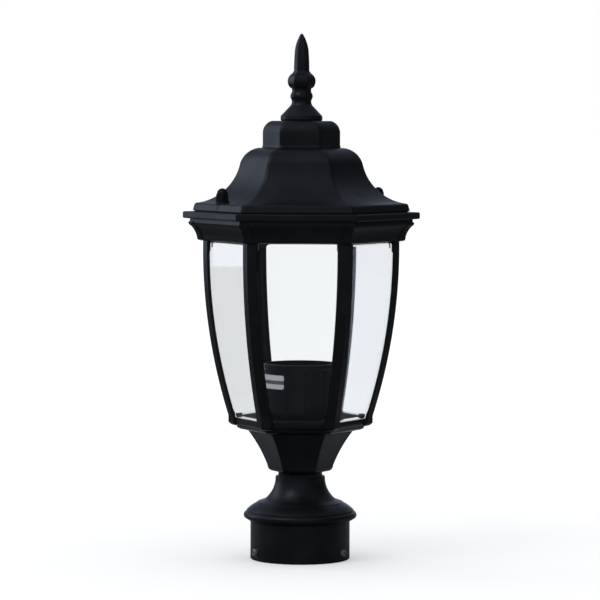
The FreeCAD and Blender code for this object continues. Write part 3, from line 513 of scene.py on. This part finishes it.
def label_paper():
    """Coated paper with one printed grey band across it and nothing else."""
    # the coating gives it a soft sheen, and the paper's fibres keep that sheen uneven
    material, tree, place = new_material("label_paper")
    low, high = (corner.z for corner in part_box("blank_label"))
    middle = (low + high) / 2
    height = add_node(tree, "ShaderNodeSeparateXYZ", {"Vector": place}).outputs["Z"]
    above = add_node(tree, "ShaderNodeMapRange", {
        "Value": height, "From Min": middle - 2.0 * MM, "From Max": middle - 1.6 * MM})
    below = add_node(tree, "ShaderNodeMapRange", {
        "Value": height, "From Min": middle + 1.6 * MM, "From Max": middle + 1.2 * MM})
    band = add_node(tree, "ShaderNodeMath", {0: above.outputs["Result"],
                                             1: below.outputs["Result"]}, operation="MULTIPLY")
    tone = add_node(tree, "ShaderNodeMix", {
        SHARE: band.outputs["Value"], LOW: linear(colours().label),
        HIGH: linear(colours().label_band)}, data_type="RGBA")
    fibre = add_node(tree, "ShaderNodeTexNoise", {
        "Vector": place, "Scale": 1 / (0.5 * MM), "Detail": 3.0})
    sheen = add_node(tree, "ShaderNodeMapRange", {
        "Value": fibre.outputs["Fac"], "To Min": 0.4, "To Max": 0.55})
    shader = add_node(tree, "ShaderNodeBsdfPrincipled", {
        "Base Color": tone.outputs[MIXED], "Roughness": sheen.outputs["Result"]})
    add_node(tree, "ShaderNodeOutputMaterial", {"Surface": shader.outputs["BSDF"]})
    return material


def glazed_porcelain():
    """Fired porcelain under a clear glaze."""
    # off-white and glossy, with a few faint specks below the glaze
    material, tree, place = new_material("glazed_porcelain")
    speck = add_node(tree, "ShaderNodeTexNoise", {
        "Vector": place, "Scale": 1 / (1.5 * MM), "Detail": 4.0})
    spots = add_node(tree, "ShaderNodeMapRange", {
        "Value": speck.outputs["Fac"], "From Min": 0.62, "From Max": 0.75})
    tone = add_node(tree, "ShaderNodeMix", {
        SHARE: spots.outputs["Result"], LOW: linear(colours().porcelain), HIGH: linear("#C9C3B2")},
        data_type="RGBA")
    sheen = add_node(tree, "ShaderNodeMapRange", {
        "Value": speck.outputs["Fac"], "To Min": 0.18, "To Max": 0.26})
    shader = add_node(tree, "ShaderNodeBsdfPrincipled", {
        "Base Color": tone.outputs[MIXED], "Roughness": sheen.outputs["Result"],
        "Coat Weight": 0.6, "Coat Roughness": 0.05})
    add_node(tree, "ShaderNodeOutputMaterial", {"Surface": shader.outputs["BSDF"]})
    return material


def pressed_brass():
    """Thin brass, pressed and screw-rolled."""
    # bright where it was rubbed by the tool, with a light tarnish in patches
    material, tree, place = new_material("pressed_brass")
    tarnish = add_node(tree, "ShaderNodeTexNoise", {
        "Vector": place, "Scale": 1 / (4 * MM), "Detail": 4.0})
    tone = add_node(tree, "ShaderNodeMix", {
        SHARE: tarnish.outputs["Fac"], LOW: linear(colours().brass), HIGH: linear("#A98748")},
        data_type="RGBA")
    sheen = add_node(tree, "ShaderNodeMapRange", {
        "Value": tarnish.outputs["Fac"], "To Min": 0.22, "To Max": 0.4})
    shader = add_node(tree, "ShaderNodeBsdfPrincipled", {
        "Base Color": tone.outputs[MIXED], "Roughness": sheen.outputs["Result"],
        "Metallic": 1.0})
    add_node(tree, "ShaderNodeOutputMaterial", {"Surface": shader.outputs["BSDF"]})
    return material


def zinc_plated_steel(name, roughness):
    """Rolled and turned steel with zinc plate."""
    # light grey and patchy, with fine lines from the rolling that spread its highlights
    material, tree, place = new_material(name)
    patch = add_node(tree, "ShaderNodeTexNoise", {
        "Vector": place, "Scale": 1 / (5 * MM), "Detail": 3.0})
    stretched = add_node(tree, "ShaderNodeMapping", {"Vector": place, "Scale": (0.08, 1.0, 1.0)})
    # real lines are 0.1 mm apart and are drawn coarser, so that a close view shows them
    lines = add_node(tree, "ShaderNodeTexNoise", {
        "Vector": stretched.outputs["Vector"], "Scale": 1 / sizes().brush_pitch, "Detail": 2.0})
    bump = add_node(tree, "ShaderNodeBump", {
        "Height": lines.outputs["Fac"], "Strength": 0.2, "Distance": 0.04 * MM})
    tone = add_node(tree, "ShaderNodeMix", {
        SHARE: patch.outputs["Fac"], LOW: linear(colours().dull_zinc),
        HIGH: linear(colours().zinc)}, data_type="RGBA")
    sheen = add_node(tree, "ShaderNodeMapRange", {
        "Value": patch.outputs["Fac"], "To Min": roughness - 0.08, "To Max": roughness + 0.08})
    shader = add_node(tree, "ShaderNodeBsdfPrincipled", {
        "Base Color": tone.outputs[MIXED], "Roughness": sheen.outputs["Result"],
        "Metallic": 1.0, "Normal": bump.outputs["Normal"]})
    add_node(tree, "ShaderNodeOutputMaterial", {"Surface": shader.outputs["BSDF"]})
    return material


def moulded(name, colour, shade, roughness, grain=1.0 * MM):
    """A moulded or extruded compound: rubber, polyamide or a lead's insulation."""
    # one colour that varies a little in depth, with the fine grain of the tool
    material, tree, place = new_material(name)
    depth = add_node(tree, "ShaderNodeTexNoise", {
        "Vector": place, "Scale": 1 / (6 * MM), "Detail": 2.0})
    pits = add_node(tree, "ShaderNodeTexNoise", {"Vector": place, "Scale": 1 / grain})
    bump = add_node(tree, "ShaderNodeBump", {
        "Height": pits.outputs["Fac"], "Strength": 0.2, "Distance": 0.06 * MM})
    tone = add_node(tree, "ShaderNodeMix", {
        SHARE: depth.outputs["Fac"], LOW: linear(colour), HIGH: linear(shade)},
        data_type="RGBA")
    sheen = add_node(tree, "ShaderNodeMapRange", {
        "Value": depth.outputs["Fac"], "To Min": roughness - 0.05, "To Max": roughness + 0.05})
    shader = add_node(tree, "ShaderNodeBsdfPrincipled", {
        "Base Color": tone.outputs[MIXED], "Roughness": sheen.outputs["Result"],
        "Normal": bump.outputs["Normal"]})
    add_node(tree, "ShaderNodeOutputMaterial", {"Surface": shader.outputs["BSDF"]})
    return material


# ------------------------------------------------------------------ castings

class LANTERN_OT_fitter(bpy.types.Operator):
    """Turn the post fitter with its flange and neck, bored for the three set screws"""

    bl_idname = "lantern.fitter"
    bl_label = "Post fitter"

    def execute(self, context):
        profile = outline([
            (39.0, 0.0), (42.1, 0.0), (42.7, 0.6), (42.7, 32.3), (43.2, 32.9), (46.8, 35.1),
            ("arc", 48.6, 37.7), (47.4, 40.3), (45.8, 41.2), (46.1, 42.0), ("arc", 42.3, 45.3),
            (37.6, 48.2), (36.4, 49.2), (30.4, 51.4), ("arc", 23.7, 59.8), (21.3, 70.8),
            (20.5, 71.6), (5.2, 71.6),
            (5.2, 66.6), (17.2, 66.6), ("arc", 20.6, 57.4), (29.5, 47.6), (33.5, 46.2),
            (36.0, 43.5), (36.0, 36.0), (39.0, 36.0)], sizes().edge_round)
        fitter = turned("fitter_casting", profile)
        holes = [rod("hole", 3.0 * MM, at(36, angle, GRUB_HEIGHT), at(46, angle, GRUB_HEIGHT))
                 for angle in GRUB_ANGLES]
        placed(merged(fitter, holes, "DIFFERENCE"), powder_coated_aluminium(), "post_fitter")
        for place in ("left", "rear", "right"):
            eased_copy("set_screw_" + place, zinc_plated_steel("zinc_plated_screw", 0.55), 0.2 * MM)
        dressed(moulded("black_rubber", colours().rubber, "#232324", 0.7), "neck_gasket")
        return {"FINISHED"}


class LANTERN_OT_bowl(bpy.types.Operator):
    """Cast the six-sided bowl with its round neck"""

    bl_idname = "lantern.bowl"
    bl_label = "Bowl"

    def execute(self, context):
        outside = outline([
            (19.5, 75.0), (24.3, 75.5), ("arc", 27.3, 77.2), (28.5, 80.4), ("arc", 35.2, 94.8),
            (45.3, 110.2), (41.1, 110.2), ("arc", 31.8, 96.0), (24.8, 82.5), (20.0, 79.0),
            (8.0, 79.0), (8.0, 75.0)], sizes().edge_round)
        bowl = hexed("bowl_casting", outside, sizes().cast_round)
        neck = turned("neck", outline([
            (5.2, 72.4), (18.9, 72.4), (18.9, 77.5), (5.2, 77.5)], sizes().edge_round))
        placed(merged(bowl, [neck], "UNION"), powder_coated_aluminium(), "bowl")
        return {"FINISHED"}


class LANTERN_OT_cage(bpy.types.Operator):
    """Ease the edges of the lower frame and of the six ribs"""

    bl_idname = "lantern.cage"
    bl_label = "Lower frame and ribs"

    def execute(self, context):
        coat = powder_coated_aluminium()
        eased_copy("lower_frame", coat, sizes().edge_round * 0.7)
        for place in CORNERS:
            eased_copy("rib_" + place, coat, sizes().fine_round)
        return {"FINISHED"}


class LANTERN_OT_panes(bpy.types.Operator):
    """Bend the six glass panes"""

    bl_idname = "lantern.panes"
    bl_label = "Glass panes"

    def execute(self, context):
        glass = bent_glass()
        low, high = (corner.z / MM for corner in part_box("glass_front"))
        height = np.linspace(low, high, 40)
        thickness, inset, behind = 3.0, 4.2, 2.0
        edge_round = 0.5 * MM
        corner = BOW_REACH - BOW_RADIUS + np.sqrt(BOW_RADIUS ** 2 - (height - BOW_HEIGHT) ** 2)
        face = (corner - behind) * cos(FACET_HALF)
        for number, place in enumerate(FACETS):
            turn = (number + 0.5) * CORNER_STEP
            rings = []
            for middle in (face, face - thickness):
                half = (middle - inset) * tan(FACET_HALF)
                rings.append(np.stack([middle, -half], axis=1))
                rings.append(np.stack([middle, half], axis=1))
            section = np.stack([rings[0], rings[1], rings[3], rings[2]], axis=1)
            section = np.stack([softened(ring * MM, edge_round) for ring in section])
            points = np.empty(section.shape[:2] + (3,))
            points[..., 0] = section[..., 0] * cos(turn) - section[..., 1] * sin(turn)
            points[..., 1] = section[..., 0] * sin(turn) + section[..., 1] * cos(turn)
            points[..., 2] = height[:, None] * MM
            placed(skin("pane_" + place, points), glass, "glass_" + place)
        return {"FINISHED"}


class LANTERN_OT_cornice(bpy.types.Operator):
    """Cast the upper frame, a hollow six-sided cornice with a lip"""

    bl_idname = "lantern.cornice"
    bl_label = "Cornice"

    def execute(self, context):
        coat = powder_coated_aluminium()
        eased_copy("upper_frame", coat, sizes().edge_round * 0.6)
        dressed(moulded("black_rubber", colours().rubber, "#232324", 0.7), "roof_gasket")
        return {"FINISHED"}


class LANTERN_OT_roof(bpy.types.Operator):
    """Cast the ogee roof with its two seats for the cap nuts"""

    bl_idname = "lantern.roof"
    bl_label = "Roof"

    def execute(self, context):
        profile = outline([
            (93.6, 299.0), (92.0, 304.4), (90.8, 305.5), ("arc", 65.9, 316.8), (52.8, 340.0),
            ("arc", 47.9, 347.5), (37.0, 352.7), (3.15, 352.7), (3.15, 349.7), (34.0, 349.7),
            ("arc", 45.0, 345.1), (49.6, 338.4), ("arc", 62.4, 314.4), (88.9, 300.6),
            (88.9, 299.0)], sizes().edge_round)
        roof = hexed("roof_casting", profile, sizes().roof_round)
        roof = merged(roof, cap_rods("seat", 5.7, 301, CAP_SEAT), "UNION")
        cuts = cap_rods("hole", 3.3, 298, 312) + cap_rods("room", 6.1, CAP_SEAT, 321)
        placed(merged(roof, cuts, "DIFFERENCE"), powder_coated_aluminium(), "roof")
        for place in ("left", "right"):
            eased_copy("cap_nut_" + place, black_plated_brass(), 0.3 * MM)
        return {"FINISHED"}


class LANTERN_OT_crown(bpy.types.Operator):
    """Cast the crown and the finial on top of it"""

    bl_idname = "lantern.crown"
    bl_label = "Crown and finial"

    def execute(self, context):
        coat = powder_coated_aluminium()
        crown = hexed("crown_casting", outline([
            (34.4, 352.7), (33.6, 354.7), (33.6, 366.0), ("arc", 31.8, 371.4), (25.8, 375.8),
            (3.15, 375.8), (3.15, 372.8), (25.0, 372.8), (30.4, 365.6), (30.4, 352.7)],
            sizes().edge_round), sizes().roof_round)
        placed(crown, coat, "crown_cap")
        base = turned("finial_casting", outline([
            (2.0, 375.8), (17.4, 375.8), (18.0, 377.0), (17.8, 380.0), (16.6, 381.2),
            (9.9, 388.4), ("arc", 8.4, 391.2), (8.7, 394.0), ("arc", 9.6, 396.8),
            (8.5, 399.8), ("arc", 8.2, 402.2), (9.0, 404.8), (2.0, 404.8)],
            sizes().edge_round, closed=False), closed=False)
        top = hexed("finial_top", outline([
            (9.4, 403.6), ("arc", 12.1, 408.5), (8.2, 416.2), (6.8, 418.4),
            ("arc", 6.6, 427.4), (6.0, 436.4), ("arc", 4.8, 441.8), (1.0, 450.0)],
            sizes().edge_round, closed=False), 1.2 * MM, closed=False)
        placed(merged(base, [top], "UNION"), coat, "finial")
        return {"FINISHED"}


class LANTERN_OT_cup(bpy.types.Operator):
    """Mould the fluted cup and lay its blank label on it"""

    bl_idname = "lantern.cup"
    bl_label = "Cup"

    def execute(self, context):
        eased_copy("socket_cup", moulded_phenolic(), sizes().fine_round)
        # an oblong with rounded corners, wrapped round the cup: a thin upright section is carried
        # across it, and near each end its height falls off along the corner's quarter circle
        half_width, half_height, corner_round = 14.2 * MM, 5.9 * MM, 2.0 * MM
        across = half_width * np.sin(np.linspace(-0.5, 0.5, 41) * np.pi)[:, None]
        past = np.maximum(np.abs(across) - (half_width - corner_round), 0)
        tall = half_height - corner_round + np.sqrt(corner_round ** 2 - past ** 2)
        facing = radians(LABEL_ANGLE) + across / (CUP_RADIUS * MM)
        radius = (CUP_RADIUS + np.array([0.25, 0.25, 0, 0])) * MM
        side = np.array([1, -1, -1, 1])
        label = np.stack([radius * np.cos(facing), radius * np.sin(facing),
                          LABEL_HEIGHT * MM + side * tall], axis=2)
        placed(skin("label", label), label_paper(), "blank_label")
        return {"FINISHED"}


class LANTERN_OT_lampholder(bpy.types.Operator):
    """Finish the lampholder inside the cup"""

    bl_idname = "lantern.lampholder"
    bl_label = "Lampholder"

    def execute(self, context):
        eased_copy("lampholder_body", glazed_porcelain(), sizes().edge_round)
        dressed(pressed_brass(), "screw_shell", "centre_contact")
        return {"FINISHED"}


class LANTERN_OT_fasteners(bpy.types.Operator):
    """Finish the clamp, the bar and every fastener"""

    bl_idname = "lantern.fasteners"
    bl_label = "Fasteners"

    def execute(self, context):
        steel = zinc_plated_steel("zinc_plated_steel", 0.4)
        eased_copy("holder_bar", steel, sizes().fine_round)
        dressed(steel, "threaded_nipple", "nipple_washers", "nipple_nuts", "bar_screws",
                "rib_screws_lower", "rib_screws_upper", "pane_clips", "roof_studs",
                "stud_lock_nuts", "finial_stud", "finial_washer", "finial_nut")
        dressed(black_plated_brass(), "cap_washers")
        return {"FINISHED"}


class LANTERN_OT_wiring(bpy.types.Operator):
    """Finish the terminal block and the leads inside the fitter"""

    bl_idname = "lantern.wiring"
    bl_label = "Wiring"

    def execute(self, context):
        dressed(moulded("white_polyamide", colours().terminal, "#D6D5CE", 0.45), "terminal_block")
        dressed(pressed_brass(), "terminal_screws", "earth_screw", "earth_eyelet")
        for lead in ("live", "neutral", "earth"):
            colour = getattr(colours(), lead)
            dressed(moulded(lead + "_insulation", colour, colour, 0.38, 0.6 * MM), lead + "_lead")
        return {"FINISHED"}


# ------------------------------------------------------------------ stage

CAMERA_DISTANCE = 2.7
CAMERA_AZIMUTH = radians(2.3)
EYE_HEIGHT = 0.377
# the photo shows 600 pixels, and one pixel is this long at the lantern's axis
PIXEL = 0.857 * MM
PIXELS = 600
AIM = (-0.75 * MM, 0.0, 0.2225)
ROLL = radians(0.2)
SENSOR = 36.0
# brightness of the surroundings: what lights the lantern, what it mirrors of the room on the left
# and on the right, and the part of the floor's white that stays in shadow, near and far
WORLD_LEVEL = 0.95
MIRROR_LEVELS = (0.26, 0.03)
FLOOR_GLOW = (0.2, 0.3)
# mirrored rays meet the backdrop from this share of their direction along Y on
BACKDROP_EDGE = 0.88
FLOOR_REACH = 30.0
MIDDLE = (0.0, 0.0, 0.25)
# soft boxes: name, place, width, height, watts and colour
SOFT_BOXES = (("key_left", (-1.5, 0.75, 0.75), 0.9, 1.3, 3.4, "#DCE6FF"),
              ("top_left", (-1.1, -1.0, 1.9), 1.0, 1.0, 5.5, "#F4F7FF"))


def white_share(tree, way):
    """How much of the white backdrop a ray meets, and whether it has been mirrored on its way. Rays
    that come from the camera, also through panes, meet all of it. Mirrored rays meet it where they
    go almost straight back, along Y, and a dim room everywhere else."""
    path = add_node(tree, "ShaderNodeLightPath")
    axes = add_node(tree, "ShaderNodeSeparateXYZ", {"Vector": way})
    # true for a ray that has only gone through glass since it left the camera
    straight = add_node(tree, "ShaderNodeMath", {
        0: path.outputs["Ray Depth"], 1: path.outputs["Transmission Depth"], 2: 0.5},
        operation="COMPARE")
    through = add_node(tree, "ShaderNodeMath", {
        0: path.outputs["Is Transmission Ray"], 1: straight.outputs["Value"]},
        operation="MULTIPLY")
    seen = add_node(tree, "ShaderNodeMath", {
        0: path.outputs["Is Camera Ray"], 1: through.outputs["Value"]}, operation="MAXIMUM")
    # a ray mirrored inside the cage still counts as mirrored once it has left through a pane, and
    # the light that comes in through a pane doesn't
    mirrored = add_node(tree, "ShaderNodeMath", {
        0: path.outputs["Is Glossy Ray"], 1: path.outputs["Glossy Depth"]},
        operation="MULTIPLY", use_clamp=True)
    behind = add_node(tree, "ShaderNodeMapRange", {
        "Value": axes.outputs["Y"], "From Min": BACKDROP_EDGE}, interpolation_type="SMOOTHSTEP")
    reflected = add_node(tree, "ShaderNodeMath", {
        0: mirrored.outputs["Value"], 1: behind.outputs["Result"]}, operation="MULTIPLY")
    share = add_node(tree, "ShaderNodeMath", {
        0: seen.outputs["Value"], 1: reflected.outputs["Value"]}, operation="MAXIMUM")
    return share.outputs["Value"], mirrored.outputs["Value"]


def pale_floor():
    """A pale studio floor that runs on into the white backdrop and keeps the lantern's shadow."""
    # painted board: matte, with hardly a speckle
    material, tree, place = new_material("pale_floor")
    way = add_node(tree, "ShaderNodeVectorMath", {0: place}, operation="NORMALIZE")
    share, mirrored = white_share(tree, way.outputs["Vector"])
    speckle = add_node(tree, "ShaderNodeTexNoise", {"Vector": place, "Scale": 14.0})
    paint = add_node(tree, "ShaderNodeMix", {
        SHARE: speckle.outputs["Fac"], LOW: linear(colours().floor), HIGH: linear("#EAEBEC")},
        data_type="RGBA")
    matte = add_node(tree, "ShaderNodeBsdfDiffuse", {"Color": paint.outputs[MIXED]})
    away = add_node(tree, "ShaderNodeVectorMath", {0: place}, operation="LENGTH")
    glow = add_node(tree, "ShaderNodeMapRange", {
        "Value": away.outputs["Value"], "From Min": 0.25, "From Max": 1.6,
        "To Min": FLOOR_GLOW[0], "To Max": FLOOR_GLOW[1]}, interpolation_type="SMOOTHSTEP")
    light = add_node(tree, "ShaderNodeEmission", {"Strength": glow.outputs["Result"]})
    lit = add_node(tree, "ShaderNodeAddShader", {
        0: matte.outputs["BSDF"], 1: light.outputs["Emission"]})
    # in reflections the floor takes a painted dim colour, with a painted pool of light close behind
    # the lantern
    axes = add_node(tree, "ShaderNodeSeparateXYZ", {"Vector": place})
    # mask of the painted pool of light: close to the lantern and behind it
    close = add_node(tree, "ShaderNodeMapRange", {
        "Value": away.outputs["Value"], "From Min": 0.6, "From Max": 0.25})
    rear = add_node(tree, "ShaderNodeMapRange", {
        "Value": axes.outputs["Y"], "From Min": -0.05, "From Max": 0.1})
    pool = add_node(tree, "ShaderNodeMath", {
        0: close.outputs["Result"], 1: rear.outputs["Result"]}, operation="MULTIPLY")
    # painted reflection: darker floor colour for mirrored rays, brighter painted pool of light near
    # and behind the lantern
    dim = add_node(tree, "ShaderNodeMix", {
        SHARE: pool.outputs["Value"], LOW: linear(colours().painted_floor_reflection),
        HIGH: linear(colours().pool)}, data_type="RGBA")
    dull = add_node(tree, "ShaderNodeBsdfDiffuse", {"Color": dim.outputs[MIXED]})
    plain = add_node(tree, "ShaderNodeMixShader", {
        "Fac": mirrored, 1: matte.outputs["BSDF"], 2: dull.outputs["BSDF"]})
    both = add_node(tree, "ShaderNodeMixShader", {
        "Fac": share, 1: plain.outputs["Shader"], 2: lit.outputs["Shader"]})
    add_node(tree, "ShaderNodeOutputMaterial", {"Surface": both.outputs["Shader"]})
    return material


def soft_light(name, place, width, height, watts, colour):
    """A soft box that faces the lantern's middle and that the camera doesn't see."""
    lamp = bpy.data.lights.new(name, "AREA")
    lamp.shape = "RECTANGLE"
    lamp.size = width
    lamp.size_y = height
    lamp.energy = watts
    lamp.color = linear(colour)[:3]
    light = bpy.data.objects.new(name, lamp)
    light.location = place
    light.rotation_euler = (Vector(MIDDLE) - Vector(place)).to_track_quat("-Z", "Y").to_euler()
    light.visible_camera = False
    bpy.context.scene.collection.objects.link(light)


class LANTERN_OT_stage(bpy.types.Operator):
    """Set the floor, the soft lights and the camera at the photo's angle"""

    bl_idname = "lantern.stage"
    bl_label = "Stage"

    def execute(self, context):
        self.lay_floor()
        self.light_world(context.scene)
        for box in SOFT_BOXES:
            soft_light(*box)
        self.set_camera(context.scene)
        context.scene.view_settings.view_transform = "Standard"
        return {"FINISHED"}

    def lay_floor(self):
        corners = [(-FLOOR_REACH, -FLOOR_REACH, 0), (FLOOR_REACH, -FLOOR_REACH, 0),
                   (FLOOR_REACH, FLOOR_REACH, 0), (-FLOOR_REACH, FLOOR_REACH, 0)]
        mesh = bpy.data.meshes.new("floor")
        mesh.from_pydata(corners, [], [(0, 1, 2, 3)])
        mesh.materials.append(pale_floor())
        floor = bpy.data.objects.new("floor", mesh)
        bpy.context.scene.collection.objects.link(floor)

    def light_world(self, scene):
        world = bpy.data.worlds.new("studio")
        world.use_nodes = True
        tree = world.node_tree
        tree.nodes.clear()
        heading = add_node(tree, "ShaderNodeTexCoord").outputs["Generated"]
        axes = add_node(tree, "ShaderNodeSeparateXYZ", {"Vector": heading})
        share, mirrored = white_share(tree, heading)
        # the room is darker on the right, and daylight makes it a little blue
        room = add_node(tree, "ShaderNodeMapRange", {
            "Value": axes.outputs["X"], "From Min": 0.35, "From Max": 0.85,
            "To Min": MIRROR_LEVELS[0], "To Max": MIRROR_LEVELS[1]})
        dim = add_node(tree, "ShaderNodeMapRange", {
            "Value": mirrored, "To Min": WORLD_LEVEL, "To Max": room.outputs["Result"]})
        level = add_node(tree, "ShaderNodeMapRange", {
            "Value": share, "To Min": dim.outputs["Result"]})
        tint = add_node(tree, "ShaderNodeMix", {
            SHARE: mirrored, LOW: (1.0, 1.0, 1.0, 1.0), HIGH: linear(colours().room)},
            data_type="RGBA")
        back = add_node(tree, "ShaderNodeBackground", {
            "Color": tint.outputs[MIXED], "Strength": level.outputs["Result"]})
        add_node(tree, "ShaderNodeOutputWorld", {"Surface": back.outputs["Background"]})
        scene.world = world

    def set_camera(self, scene):
        data = bpy.data.cameras.new("camera")
        camera = bpy.data.objects.new("camera", data)
        scene.collection.objects.link(camera)
        camera.location = (CAMERA_DISTANCE * sin(CAMERA_AZIMUTH),
                           -CAMERA_DISTANCE * cos(CAMERA_AZIMUTH), EYE_HEIGHT)
        sight = Vector(AIM) - camera.location
        away = sight.length
        upright = sight.to_track_quat("-Z", "Y")
        camera.rotation_euler = (upright @ Quaternion((0, 0, 1), ROLL)).to_euler()
        data.sensor_width = SENSOR
        data.lens = SENSOR * away / (PIXEL * PIXELS)
        data.clip_end = 100.0
        scene.camera = camera


# ------------------------------------------------------------------ panel and registration

PIECES = (LANTERN_OT_fitter, LANTERN_OT_bowl, LANTERN_OT_cage, LANTERN_OT_panes,
          LANTERN_OT_cornice, LANTERN_OT_roof, LANTERN_OT_crown, LANTERN_OT_cup,
          LANTERN_OT_lampholder, LANTERN_OT_fasteners, LANTERN_OT_wiring, LANTERN_OT_stage)


class VIEW3D_PT_lantern(bpy.types.Panel):
    """Lists the lantern's pieces, sizes and colours"""

    bl_label = "Post top lantern"
    bl_space_type = "VIEW_3D"
    bl_region_type = "UI"
    bl_category = "Lantern"

    def draw(self, context):
        for piece in PIECES:
            self.layout.operator(piece.bl_idname)
        for group in (sizes(), colours()):
            for name in group.__annotations__:
                self.layout.prop(group, name)


CLASSES = (LanternSizes, LanternColours, *PIECES, VIEW3D_PT_lantern)


def register():
    for item in CLASSES:
        bpy.utils.register_class(item)
    bpy.types.Scene.lantern_sizes = bpy.props.PointerProperty(type=LanternSizes)
    bpy.types.Scene.lantern_colours = bpy.props.PointerProperty(type=LanternColours)


def unregister():
    del bpy.types.Scene.lantern_colours
    del bpy.types.Scene.lantern_sizes
    for item in reversed(CLASSES):
        bpy.utils.unregister_class(item)


def main():
    register()
    for piece in PIECES:
        group, name = piece.bl_idname.split(".")
        getattr(getattr(bpy.ops, group), name)()


if __name__ == "__main__":
    main()
